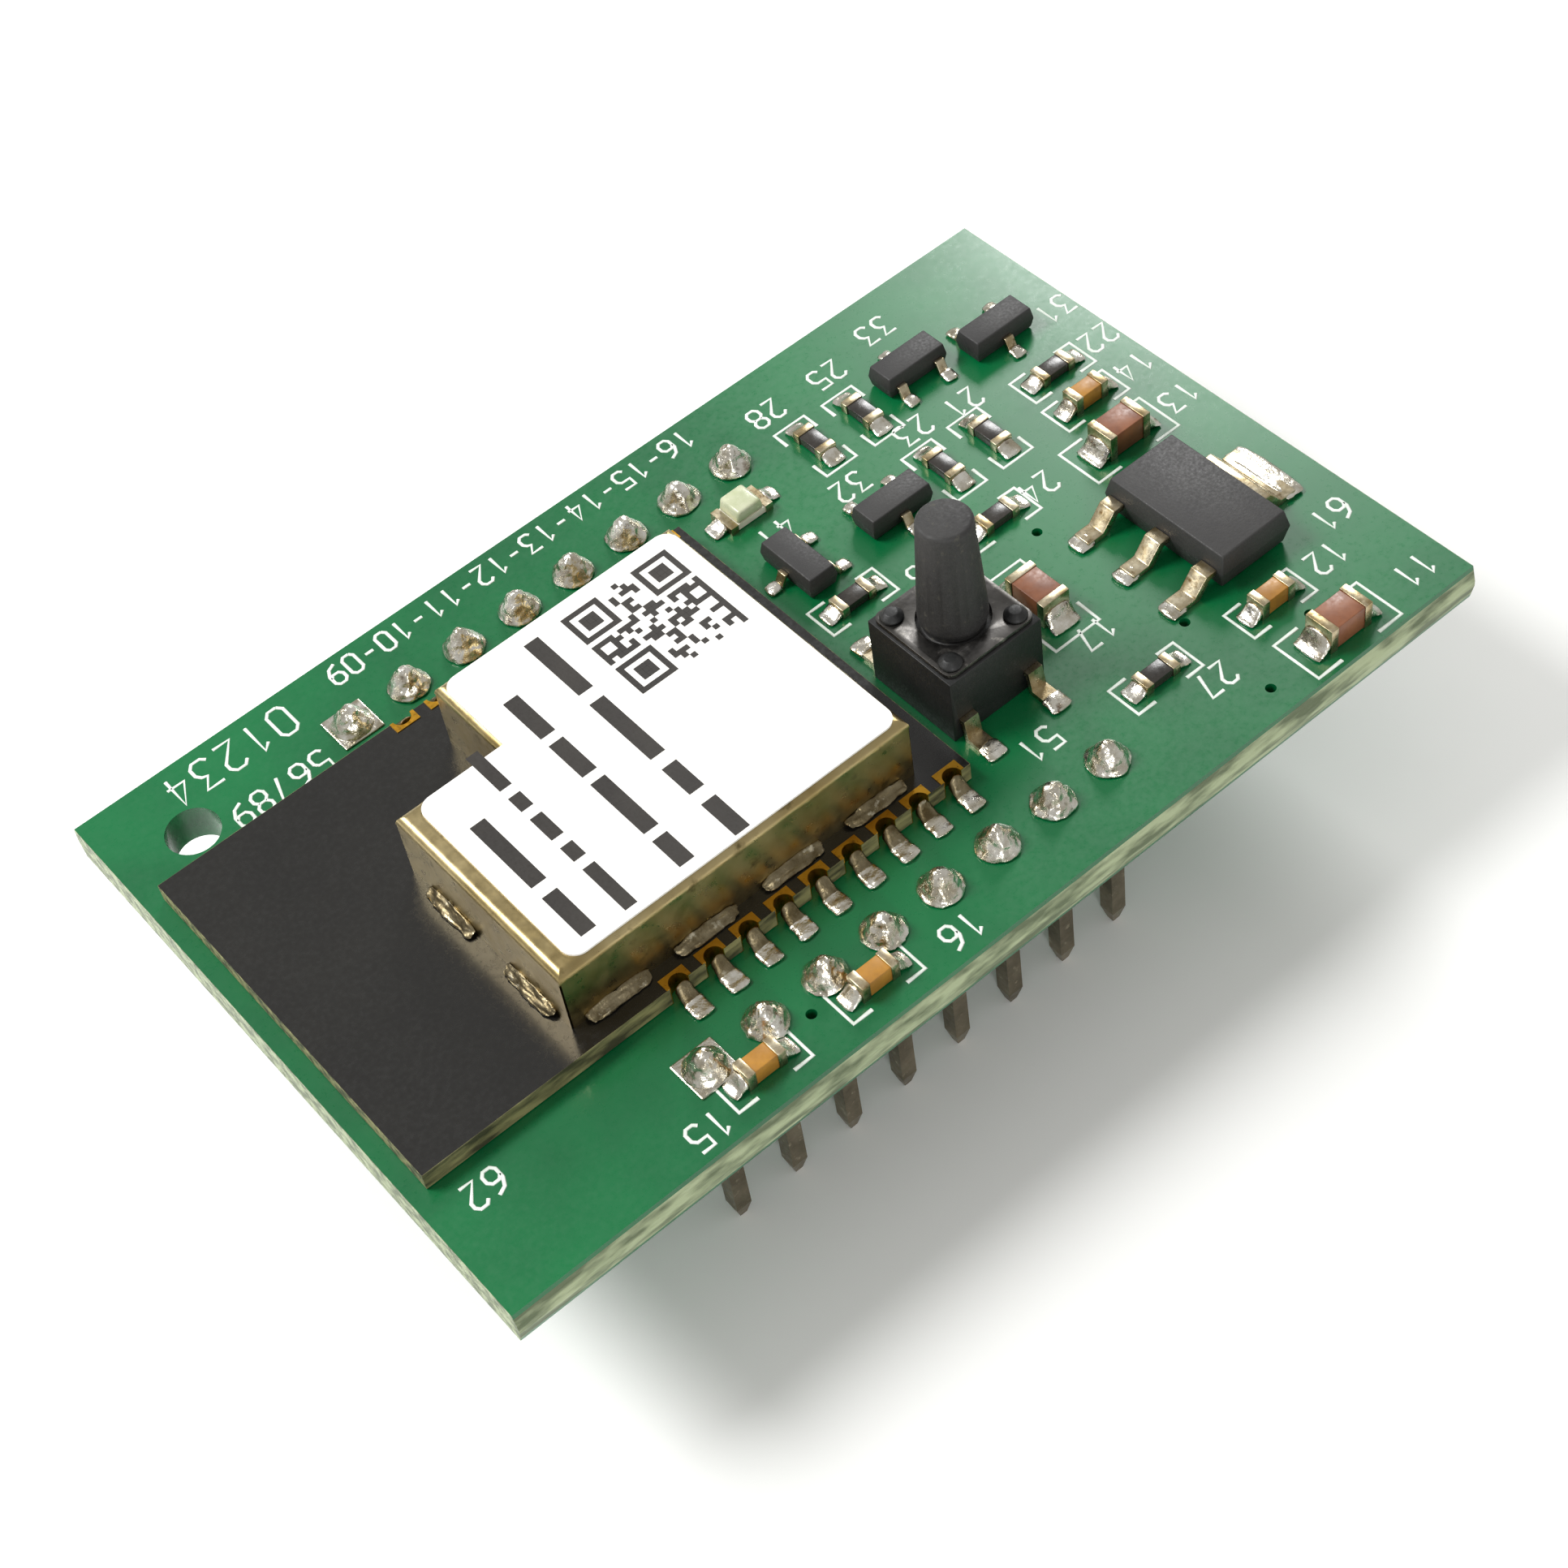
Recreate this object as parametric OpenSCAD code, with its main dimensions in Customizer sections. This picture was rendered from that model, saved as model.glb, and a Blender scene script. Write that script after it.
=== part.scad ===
// Wireless module on a plug-in carrier board: a castellated radio module
// under a folded shield can, a tact switch, a regulator and two header rows.
// X runs along the board, Y across it, and the pin tips stand at z = 0.

/* [Carrier board] */
// Length of the carrier board
board_l = 42.8; // [42.6:0.2:60]
// Width of the carrier board's top face
board_w = 26.4; // [26.2:0.2:40]
// Thickness of the carrier board
board_t = 1.6; // [1:0.1:2.4]
// How far the snapped score line stands out of each long edge
score_rise = 0.15; // [0.1:0.05:0.4]
// Diameter of the corner hole
corner_hole_d = 2.1; // [1.2:0.1:2.4]
// Corner hole's distance from the left end
corner_hole_x = 3.1; // [2:0.1:6]
// Corner hole's distance from the back edge
corner_hole_y = 3.2; // [2:0.1:3.6]
// Diameter of the vias
via_d = 0.4; // [0.2:0.05:0.6]

/* [Header rows] */
// Pins in each row
row_pins = 8; // [3:1:8]
// Distance between neighbouring pins
pin_pitch = 2.54; // [2:0.02:2.6]
// Distance between the two rows
row_spacing = 20.32; // [20:0.04:21]
// How far the rows' middle line lies from the board's, towards the front
row_shift = 0.3; // [0:0.05:0.6]
// First pin's distance from the left end
first_pin_x = 10; // [8:0.2:12]
// Side of the square pins
pin_side = 0.64; // [0.4:0.02:0.66]
// Length of each pin below its strip
pin_tail = 5; // [3:0.1:8]
// How far a pin reaches above the board
pin_head = 0.75; // [0.3:0.05:1.2]
// Length of a pin's tapered tip
pin_taper = 0.7; // [0.2:0.05:1.2]
// Side of the small flat at a pin's tip
pin_flat = 0.3; // [0.15:0.05:0.4]
// Height of the moulded strips
strip_h = 2.5; // [1.5:0.1:3]
// Width of the moulded strips
strip_w = 2.5; // [1.8:0.1:2.6]
// Corner cut between two blocks of a strip
strip_cut = 0.5; // [0.2:0.05:0.8]
// Diameter of the plated pin holes
pin_hole_d = 1; // [0.98:0.02:1.3]
// Diameter of a solder joint on the board
joint_d = 1.7; // [1.4:0.05:1.75]
// Solder over the end of a pin
joint_cap = 0.3; // [0.1:0.05:0.6]

/* [Radio module] */
// Length of the module's board
module_l = 23.3; // [22.6:0.1:23.4]
// Width of the module's board
module_w = 15.9; // [15.4:0.1:16.2]
// Thickness of the module's board
module_t = 0.8; // [0.6:0.05:1.2]
// Film of solder under the module
module_gap = 0.05; // [0.04:0.01:0.15]
// Module's distance from the carrier board's left end
module_x = 0.7; // [0.3:0.1:1]
// Share of the free strips between module and rows that lies in front
module_back = 0.613; // [0.5:0.01:0.65]
// Castellations on each long side
castle_n = 9; // [3:1:9]
// Distance between castellations
castle_pitch = 1.5; // [1.3:0.05:1.5]
// Last castellation's distance from the module's right end
castle_end = 0.8; // [0.7:0.05:1.2]
// Drilled radius of a castellation
castle_r = 0.4; // [0.3:0.02:0.45]
// Depth of the gold land behind a castellation
land_back = 0.1; // [0.06:0.01:0.16]
// Width of the gold land beside a castellation
land_side = 0.11; // [0.06:0.01:0.16]
// Thickness of the gold plating
plating_t = 0.035; // [0.02:0.005:0.038]
// Length of the solder feet, where the joints of the rows leave room
foot_l = 1.25; // [0.8:0.05:1.4]
// Least distance from a solder foot to a joint
foot_clear = 0.1; // [0.05:0.01:0.2]
// Width of the solder foot
foot_w = 0.85; // [0.5:0.05:1]
// Height of the solder foot on its land
foot_t = 0.14; // [0.08:0.02:0.2]

/* [Shield can and label] */
// Length of the can
can_l = 14.85; // [14:0.05:15]
// Width of the can
can_w = 12.85; // [12:0.05:13]
// Height of the can above the module's board
can_h = 2.85; // [2:0.05:3.5]
// Thickness of the can's sheet
can_t = 0.2; // [0.1:0.02:0.3]
// Outer radius of the can's folds
fold_r = 0.35; // [0.32:0.02:0.6]
// Width of the seams at the can's corners
seam_w = 0.08; // [0.04:0.02:0.12]
// Can's distance from the module's right end
can_x = 1.6; // [1.2:0.1:2]
// Can's distance from the module's front edge
can_y = 1; // [0.95:0.05:1.2]
// Length of the step in the can's back corner
step_l = 4.3; // [3:0.1:6]
// Width of the step in the can's back corner
step_w = 3.7; // [2:0.1:5]
// Thickness of the paper label
label_t = 0.08; // [0.04:0.01:0.15]
// Radius of the label's corners
label_r = 0.6; // [0.2:0.05:0.9]
// Bare sheet at the can's left end
label_left = 0.75; // [0.4:0.05:1]
// Bare sheet along the label's other sides
label_side = 0.2; // [0.1:0.05:0.35]

/* [Parts under the can] */
// Distance between neighbours under the can
under_gap = 0.5; // [0.3:0.05:0.8]
// Side of the radio chip
chip_side = 5; // [4:0.1:5.4]
// Height of the radio chip
chip_h = 0.85; // [0.6:0.05:1.2]
// Length of the memory chip
memory_l = 5.2; // [4:0.1:5.4]
// Width of the memory chip
memory_w = 3.9; // [3:0.1:4.2]
// Height of the memory chip
memory_h = 1.2; // [0.8:0.05:1.5]
// Length of the crystal
crystal_l = 3.2; // [2.5:0.1:3.4]
// Width of the crystal
crystal_w = 2.5; // [2:0.1:2.6]
// Height of the crystal
crystal_h = 0.7; // [0.5:0.05:1]
// Length of the smallest chip parts
tiny_l = 1; // [0.6:0.05:1.1]
// Width of the smallest chip parts
tiny_w = 0.5; // [0.3:0.05:0.6]

/* [Tact switch] */
// Side of the switch's base
switch_side = 4.2; // [4.2:0.1:4.6]
// Height of the switch's base
switch_h = 3; // [2.6:0.1:3.6]
// Side of the switch's cover plate
cover_side = 4; // [3.95:0.05:4.15]
// Thickness of the cover plate
cover_t = 0.2; // [0.1:0.02:0.3]
// Distance between the rivets
rivet_pitch = 3; // [2.9:0.05:3.1]
// Diameter of a rivet's head
rivet_head_d = 0.86; // [0.8:0.02:0.9]
// Diameter of a rivet's stem
rivet_stem_d = 0.6; // [0.4:0.02:0.7]
// Height of a rivet's head
rivet_h = 0.28; // [0.1:0.02:0.4]
// Height of the plunger above the cover plate
plunger_h = 4.85; // [2:0.05:6]
// Diameter of the plunger's top
plunger_top_d = 2; // [1.6:0.05:2.1]
// Diameter of the plunger's skirt
plunger_skirt_d = 2.5; // [2.3:0.05:2.6]
// Clearance round the plunger in the cover plate
plunger_gap = 0.08; // [0.05:0.01:0.15]
// How far the plunger travels when pressed
plunger_travel = 0.25; // [0.1:0.05:0.3]
// Diameter of the plunger's collar under the plate
collar_d = 3.3; // [3.2:0.05:3.4]
// Height of the plunger's collar
collar_h = 0.5; // [0.3:0.05:0.7]
// Diameter of the spring dome
dome_d = 3; // [2.6:0.05:3.3]
// Rise of the spring dome
dome_rise = 0.45; // [0.35:0.05:0.6]
// Thickness of the spring dome
dome_t = 0.07; // [0.05:0.01:0.1]
// Floor under the dome, with the contacts in it
switch_floor = 1; // [0.9:0.05:1.2]
// Distance between the switch's two terminals
leg_pitch = 3; // [2.8:0.05:3.2]
// Width of a leg
leg_w = 0.65; // [0.4:0.05:0.7]
// Thickness of a leg's sheet
leg_t = 0.2; // [0.1:0.02:0.3]
// How far a leg reaches in front of the base
leg_reach = 1.3; // [0.8:0.05:1.35]

/* [Regulator] */
// Length of the regulator's body
reg_l = 5.9; // [5.6:0.1:6.2]
// Width of the regulator's body
reg_w = 3.4; // [3:0.1:3.6]
// Height of the regulator's body
reg_h = 1.6; // [1.4:0.05:1.8]
// Draft of the moulded body on each side
reg_draft = 0.16; // [0.05:0.01:0.25]
// Distance between the regulator's leads
reg_pitch = 2.3; // [2.1:0.05:2.4]
// Width of a regulator lead
reg_lead_w = 0.75; // [0.5:0.05:0.9]
// Width of the regulator's cooling tab
reg_tab_w = 3; // [2.6:0.1:3.2]
// Thickness of the regulator's lead frame
reg_sheet = 0.28; // [0.2:0.02:0.32]
// How far the regulator's leads and tab reach out
reg_reach = 1.8; // [1.5:0.05:1.9]

/* [Transistors] */
// Length of a transistor's body
tr_l = 2.9; // [2.6:0.05:3]
// Width of a transistor's body
tr_w = 1.3; // [1.1:0.05:1.4]
// Height of a transistor's body
tr_h = 1; // [0.8:0.05:1.2]
// Draft of a transistor's body on each side
tr_draft = 0.08; // [0.03:0.01:0.12]
// Distance between a transistor's paired leads
tr_pitch = 1.9; // [1.7:0.05:2]
// Width of a transistor's lead
tr_lead_w = 0.42; // [0.3:0.02:0.5]
// Thickness of a transistor's lead frame
tr_sheet = 0.14; // [0.1:0.02:0.2]
// How far a transistor's leads reach out
tr_reach = 0.6; // [0.5:0.05:0.7]

/* [Chip capacitors and resistors] */
// Length of a large capacitor
cap_l = 2; // [1.8:0.05:2.1]
// Width of a large capacitor
cap_w = 1.25; // [1.1:0.05:1.3]
// Height of a large capacitor
cap_h = 1.15; // [0.8:0.05:1.3]
// Length of a small chip part
small_l = 1.6; // [1.5:0.05:1.7]
// Width of a small chip part
small_w = 0.8; // [0.7:0.05:0.9]
// Height of a small capacitor
small_cap_h = 0.8; // [0.6:0.05:0.9]
// Height of a resistor
res_h = 0.45; // [0.35:0.05:0.6]
// Share of a chip part's length under each metal end
end_l = 0.34; // [0.2:0.02:0.4]
// Thickness of the metal on a chip part's ends
end_t = 0.04; // [0.02:0.01:0.06]
// Length of the solder in front of a chip part's end
fillet_l = 0.5; // [0.3:0.05:0.6]
// Distance from a chip part beside the front row to the row's joints
cap_clear = 0.02; // [0.01:0.01:0.2]

/* [Indicator lamp] */
// Length of the lamp's base
lamp_l = 2; // [1.8:0.05:2.2]
// Width of the lamp's base
lamp_w = 1.25; // [1.1:0.05:1.3]
// Height of the lamp's base
lamp_base_h = 0.35; // [0.2:0.05:0.5]
// Length of the clear lens
lens_l = 1.3; // [1:0.05:1.35]
// Height of the clear lens
lens_h = 0.5; // [0.3:0.05:0.6]

/* [Hidden] */

$fn = 32;
eps = 0.01;

// Levels
board_z = pin_tail + strip_h;
top_z = board_z + board_t;
module_z = top_z + module_gap;
module_top = module_z + module_t;
can_top = module_top + can_h;

// Edges of the carrier board
left_x = -board_l / 2;
right_x = board_l / 2;
front_y = -board_w / 2;
back_y = board_w / 2;

// Header rows
front_row_y = -row_shift - row_spacing / 2;
back_row_y = -row_shift + row_spacing / 2;
row_x = left_x + first_pin_x;

// Edges of the module and of its can
module_x0 = left_x + module_x;
module_x1 = module_x0 + module_l;
strips_w = row_spacing - module_w;
module_y0 = front_row_y + module_back * strips_w;
module_y1 = module_y0 + module_w;
can_x1 = module_x1 - can_x;
can_x0 = can_x1 - can_l;
can_y0 = module_y0 + can_y;
can_y1 = can_y0 + can_w;
step_x = can_x0 + step_l;
step_y = can_y1 - step_w;
castle_x0 = module_x1 - castle_end - (castle_n - 1) * castle_pitch;

// Where the free field starts, between the module and the right end
field_x0 = module_x1;
field_l = right_x - field_x0;

// Place in the free field: a share of its length, a share of half the
// board's width from the middle line, and a turn about Z
function field(along, across, turn) = [
    field_x0 + along * field_l, across * board_w / 2, turn];

// Place beside the front row: pins from the first, and a small part's turn
function beside_row(pins) = [
    row_x + pins * pin_pitch,
    front_row_y - joint_d / 2 - cap_clear - small_w / 2, 0];

switch_at = field(0.149, -0.307, 0);
regulator_at = field(0.723, -0.371, 0);
lamp_at = field(0.133, 0.576, 0);
large_caps = [
    field(0.713, -0.902, 0),
    field(0.782, 0.015, 0),
    field(0.372, -0.273, 90)];
small_caps = [
    field(0.676, -0.712, 0),
    field(0.814, 0.197, 0),
    beside_row(0.5),
    beside_row(2.4)];
resistors = [
    field(0.612, 0.288, 90),
    field(0.824, 0.348, 0),
    field(0.489, 0.288, 90),
    field(0.468, 0.038, 0),
    field(0.479, 0.621, 90),
    field(0.133, 0.098, 0),
    field(0.399, -0.682, 0),
    field(0.356, 0.629, 90)];
// Transistors, turned so that the single lead points along -Y at 0
transistors = [
    field(0.814, 0.576, 0),
    field(0.340, 0.265, 0),
    field(0.622, 0.652, 180),
    field(0.112, 0.288, 270)];
vias = [
    field(0.527, -0.917, 0),
    field(0.707, -0.811, 0),
    field(0.500, -0.076, 0),
    field(0.532, -0.598, 0),
    [row_x + 1.5 * pin_pitch, front_row_y - joint_d * 0.45]];

// Inside of the switch
cover_z = top_z + switch_h;
cover_top = cover_z + cover_t;
well_z = top_z + switch_floor;
dome_top = well_z + dome_rise + dome_t;
well_d = collar_d + 2 * plunger_gap;
leg_z = top_z + switch_floor - leg_t;

// Puts children on the board at a place of the form [x, y, turn]
module placed(p) {
    translate([p[0], p[1], top_z]) rotate([0, 0, p[2]]) children();
}

// Block centred on x and y, standing on z = 0
module block(l, w, h) {
    translate([-l / 2, -w / 2, 0]) cube([l, w, h]);
}

// Outline drawn in x and z, made w wide along y about y = 0
module wide(w) {
    rotate([90, 0, 0]) linear_extrude(w, center = true) children();
}

// Runs children once for every pin of a row
module along_row(y) {
    for (i = [0 : row_pins - 1])
        translate([row_x + i * pin_pitch, y, 0]) children();
}

// Runs children at one edge's castellations, with the outside at -Y
module at_castellations(edge) {
    for (i = [0 : castle_n - 1])
        translate([castle_x0 + i * castle_pitch, edge, 0])
            rotate([0, 0, edge == module_y0 ? 0 : 180]) children();
}

// ---------------------------------------------------------------- boards

// Section across the board: both long edges were scored and snapped off
module scored_section() {
    polygon([
        [front_y, 0], [back_y, 0],
        [back_y + score_rise, board_t * 0.42],
        [back_y + score_rise, board_t * 0.58],
        [back_y, board_t], [front_y, board_t],
        [front_y - score_rise, board_t * 0.58],
        [front_y - score_rise, board_t * 0.42]]);
}

module carrier_board() {
    color("#0b5a33") difference() {
        translate([left_x, 0, board_z]) rotate([90, 0, 90])
            linear_extrude(board_l) scored_section();
        for (y = [front_row_y, back_row_y]) along_row(y)
            translate([0, 0, board_z - eps])
                cylinder(h = board_t + 2 * eps, d = pin_hole_d);
        translate([left_x + corner_hole_x, back_y - corner_hole_y, board_z - eps])
            cylinder(h = board_t + 2 * eps, d = corner_hole_d);
        for (v = vias) translate([v[0], v[1], board_z - eps])
            cylinder(h = board_t + 2 * eps, d = via_d);
    }
}

module module_board() {
    color("#1b1b19") difference() {
        translate([module_x0, module_y0, module_z])
            cube([module_l, module_w, module_t]);
        for (edge = [module_y0, module_y1]) at_castellations(edge)
            translate([0, 0, module_z - eps])
                cylinder(h = module_t + 2 * eps, r = castle_r);
    }
}

// Land of a castellation: a small rectangle that ends at the board's edge
module castellation_land(z) {
    land_w = 2 * (castle_r + land_side);
    translate([-land_w / 2, 0, z])
        cube([land_w, castle_r + land_back, plating_t]);
}

// Half barrel between a land on the module's board and a land under it
module module_castellations() {
    low = module_z - plating_t;
    high = module_z + module_t + plating_t;
    color("#c99a3a") for (edge = [module_y0, module_y1])
        at_castellations(edge) difference() {
            union() {
                castellation_land(low);
                castellation_land(module_z + module_t);
                intersection() {
                    translate([0, 0, low]) cylinder(h = high - low, r = castle_r);
                    translate([-castle_r, 0, low])
                        cube([2 * castle_r, castle_r, high - low]);
                }
            }
            translate([0, 0, low - eps])
                cylinder(h = high - low + 2 * eps, r = castle_r - plating_t);
        }
}

// ------------------------------------------------------------ shield can

// Side view of a box whose two top edges are rolled over
module rolled_section(a, b, h, r) {
    translate([a, 0]) square([b - a, h - r]);
    translate([a + r, 0]) square([b - a - 2 * r, h]);
    for (x = [a + r, b - r]) translate([x, h - r]) circle(r = r);
}

// Box between two corners with all four top edges rolled: two prisms meet
module rolled_box(x0, y0, x1, y1, h, r) {
    intersection() {
        translate([0, (y0 + y1) / 2, 0]) wide(y1 - y0) rolled_section(x0, x1, h, r);
        translate([(x0 + x1) / 2, 0, 0]) rotate([90, 0, 90])
            linear_extrude(x1 - x0, center = true) rolled_section(y0, y1, h, r);
    }
}

// The can's stepped form, moved inwards by d on every side
module stepped_form(d) {
    h = can_h - d;
    r = fold_r - d;
    rolled_box(can_x0 + d, can_y0 + d, can_x1 - d, step_y - d, h, r);
    rolled_box(step_x + d, can_y0 + d, can_x1 - d, can_y1 - d, h, r);
}

// One sheet folded down on six sides, open below and at its outer corners
module shield_can() {
    seams = [[can_x0, can_y0, 45], [can_x1, can_y0, -45], [can_x1, can_y1, 45],
             [step_x, can_y1, -45], [can_x0, step_y, -45]];
    color("#a89768") translate([0, 0, module_top]) difference() {
        stepped_form(0);
        translate([0, 0, -eps]) stepped_form(can_t);
        for (c = seams) translate([c[0], c[1], -2 * eps]) rotate([0, 0, c[2]])
            translate([-2 * can_t, -seam_w / 2, 0])
                cube([4 * can_t, seam_w, can_h - fold_r]);
    }
}

// Rectangle with true round corners
module rounded_plate(x0, y0, x1, y1, r) {
    translate([x0 + r, y0]) square([x1 - x0 - 2 * r, y1 - y0]);
    translate([x0, y0 + r]) square([x1 - x0, y1 - y0 - 2 * r]);
    for (x = [x0 + r, x1 - r], y = [y0 + r, y1 - r]) translate([x, y]) circle(r = r);
}

module can_label() {
    color("#f2efe9") translate([0, 0, can_top]) linear_extrude(label_t) {
        rounded_plate(can_x0 + label_left, can_y0 + label_side,
                      can_x1 - label_side, step_y - label_side, label_r);
        rounded_plate(step_x + label_side, can_y0 + label_side,
                      can_x1 - label_side, can_y1 - label_side, label_r);
    }
}

// Solder strips that hold the can's front, left and step walls
module can_solder() {
    strip_w = (can_y - castle_r - land_back) * 0.8;
    strip_n = 4;
    strip_pitch = can_l / strip_n;
    color("#b9b4a6") translate([0, 0, module_top]) {
        for (i = [0 : strip_n - 1])
            translate([can_x0 + (i + 0.08) * strip_pitch, can_y0, 0])
                rotate([90, 0, 90]) linear_extrude(strip_pitch * 0.84)
                    polygon([[0, 0], [0, 0.45], [-strip_w * 0.5, 0.2], [-strip_w, 0]]);
        left_pitch = (step_y - can_y0) / 2;
        for (i = [0, 1])
            translate([can_x0, can_y0 + (i + 0.92) * left_pitch, 0])
                rotate([90, 0, 0]) linear_extrude(left_pitch * 0.84)
                    polygon([[0, 0], [0, 0.5], [-0.25, 0.22], [-0.5, 0]]);
        translate([step_x, can_y1 - can_t, 0]) rotate([90, 0, 0])
            linear_extrude((can_y1 - step_y) / 2)
            polygon([[0, 0], [0, 0.4], [-0.2, 0.15], [-0.35, 0]]);
    }
}

// ------------------------------------------------------ under the can

// Places under the can, counted from its right and front walls
tiny_x = can_x1 - can_t - under_gap - tiny_l / 2;
radio_x = tiny_x - tiny_l / 2 - under_gap - chip_side / 2;
radio_y = can_y0 + can_t + under_gap + chip_side / 2;
crystal_y = radio_y + (chip_side + crystal_w) / 2 + under_gap;
memory_x = radio_x - (chip_side + memory_w) / 2 - under_gap;
memory_y = can_y0 + can_t + under_gap + memory_l / 2;

module radio_chip() {
    color("#26262a") translate([radio_x, radio_y, module_top])
        block(chip_side, chip_side, chip_h);
}

module memory_chip() {
    color("#2c2a28") translate([memory_x, memory_y, module_top])
        block(memory_w, memory_l, memory_h);
}

module module_crystal() {
    color("#b8b4a4") translate([radio_x, crystal_y, module_top])
        block(crystal_l, crystal_w, crystal_h);
}

// Rows of the smallest chip parts, beside each of the larger ones
module module_passives() {
    tiny_step = tiny_w + under_gap;
    beside_memory = memory_x - (memory_w + tiny_l) / 2 - under_gap;
    beside_crystal = radio_x - (crystal_l + tiny_l) / 2 - under_gap;
    color("#a5742f") translate([0, 0, module_top]) {
        for (i = [0 : 3], x = [tiny_x, beside_memory])
            translate([x, can_y0 + can_t + under_gap + (i + 0.5) * tiny_step, 0])
                block(tiny_l, tiny_w, tiny_w);
        for (i = [0 : 1])
            translate([beside_crystal, crystal_y + (i - 0.5) * tiny_step, 0])
                block(tiny_l, tiny_w, tiny_w);
    }
}

// Length of a solder foot in a strip between the module and a row
function foot_room(strip) = min(foot_l, strip - joint_d / 2 - foot_clear);

// Solder climbing from the carrier board into one edge's castellations
module castellation_fill(edge, foot_l) {
    fill_r = castle_r - plating_t - eps;
    climb = module_gap + module_t * 0.8;
    at_castellations(edge) translate([0, 0, top_z]) {
        intersection() {
            cylinder(h = climb, r = fill_r);
            translate([-castle_r, -eps, 0]) cube([2 * castle_r, castle_r, climb]);
        }
        rotate([90, 0, 90]) linear_extrude(2 * fill_r, center = true)
            polygon([for (s = [0 : 0.125 : 1])
                [-foot_l * 0.6 * s, foot_t + (climb - foot_t) * pow(1 - s, 3)],
                [-foot_l * 0.6, 0], [0, 0]]);
        translate([-foot_w / 2, -foot_l, 0])
            cube([foot_w, foot_l - 2 * foot_clear, foot_t]);
    }
}

module castellation_solder() {
    color("#b8b6ae") {
        castellation_fill(module_y0, foot_room(module_y0 - front_row_y));
        castellation_fill(module_y1, foot_room(back_row_y - module_y1));
    }
}

// ---------------------------------------------------------- tact switch

// Legs and contact strips of the switch, both pairs
module switch_strips(grow = 0) {
    w = leg_w + 2 * grow;
    half = switch_side / 2;
    for (x = [-1, 1] * leg_pitch / 2) translate([x, 0, 0]) rotate([90, 0, 90])
        linear_extrude(w, center = true) {
            translate([-half, leg_z - top_z]) square([switch_side, leg_t]);
            for (m = [0, 1]) mirror([m, 0]) polygon([
                [half, leg_z - top_z], [half, leg_z - top_z + leg_t],
                [half + 1.2 * leg_t, leg_z - top_z + leg_t],
                [half + 2 * leg_t, leg_t], [half + leg_reach, leg_t],
                [half + leg_reach, 0], [half + 1.2 * leg_t, 0],
                [half + 0.4 * leg_t, leg_z - top_z]]);
        }
}

module on_switch() {
    placed(switch_at) children();
}

// Square base with a round well, four rivets and the terminals' slots
module switch_base() {
    color("#181818") on_switch() {
        difference() {
            block(switch_side, switch_side, switch_h);
            translate([0, 0, switch_floor]) cylinder(h = switch_h, d = well_d);
            intersection() {
                switch_strips();
                block(switch_side + eps, switch_side + eps, switch_h);
            }
        }
        for (x = [-1, 1], y = [-1, 1]) translate([x * rivet_pitch / 2, y * rivet_pitch / 2, 0]) {
            translate([0, 0, switch_h]) cylinder(h = cover_t, d = rivet_stem_d);
            translate([0, 0, switch_h + cover_t]) rivet_head();
        }
    }
}

module rivet_head() {
    r = rivet_head_d / 2;
    rotate_extrude() difference() {
        square([r, rivet_h]);
        translate([r, rivet_h]) rotate(45) square(rivet_h, center = true);
    }
}

// Cover plate with round corners, one bore for the plunger and four for rivets
module switch_cover() {
    half = cover_side / 2;
    color("#4a4947") on_switch() translate([0, 0, switch_h]) difference() {
        linear_extrude(cover_t) rounded_plate(-half, -half, half, half, 0.35);
        translate([0, 0, -eps])
            cylinder(h = cover_t + 2 * eps, d = plunger_skirt_d + 2 * plunger_gap);
        for (x = [-1, 1], y = [-1, 1])
            translate([x * rivet_pitch / 2, y * rivet_pitch / 2, -eps])
                cylinder(h = cover_t + 2 * eps, d = rivet_stem_d + 0.04);
    }
}

// Turned in one piece: nub on the dome, collar under the plate, tapered stem
module switch_plunger() {
    skirt_r = plunger_skirt_d / 2;
    top_r = plunger_top_d / 2;
    nub_z = dome_top + 0.02;
    collar_z = cover_z - 0.02 - collar_h;
    color("#2b2a2a") translate([switch_at[0], switch_at[1], 0]) rotate_extrude()
        polygon([
            [0, nub_z], [0.5, nub_z], [0.5, collar_z], [collar_d / 2, collar_z],
            [collar_d / 2, collar_z + collar_h],
            [skirt_r - 0.15, collar_z + collar_h], [skirt_r - 0.15, cover_top],
            [skirt_r - 0.04, cover_top + 0.15], [skirt_r, cover_top + 0.35],
            [top_r, cover_top + plunger_h - 0.1],
            [top_r - 0.1, cover_top + plunger_h], [0, cover_top + plunger_h]]);
}

// Thin domed disc that snaps through when pressed
module switch_dome() {
    rim_r = dome_d / 2;
    ball_r = (rim_r * rim_r + dome_rise * dome_rise) / (2 * dome_rise);
    color("#c8c6bd") translate([switch_at[0], switch_at[1], well_z]) intersection() {
        difference() {
            translate([0, 0, dome_rise - ball_r]) sphere(r = ball_r + dome_t, $fn = 64);
            translate([0, 0, dome_rise - ball_r]) sphere(r = ball_r, $fn = 64);
        }
        cylinder(h = 2 * (dome_rise + dome_t), d = dome_d);
    }
}

module switch_terminals() {
    color("#b7a98a") on_switch() switch_strips();
}

// ------------------------------------------------- regulator, transistors

// Side view of a moulded body with draft above and below its lead frame
module drafted_section(l, h, draft, waist) {
    half = l / 2;
    lift = 0.05;
    band = 0.03;
    polygon([
        [draft - half, lift], [half - draft, lift], [half, waist - band],
        [half, waist + band], [half - draft, h], [draft - half, h],
        [-half, waist + band], [-half, waist - band]]);
}

module drafted_body(l, w, h, draft, waist) {
    intersection() {
        wide(w) drafted_section(l, h, draft, waist);
        rotate([0, 0, 90]) wide(l) drafted_section(w, h, draft, waist);
    }
}

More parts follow.
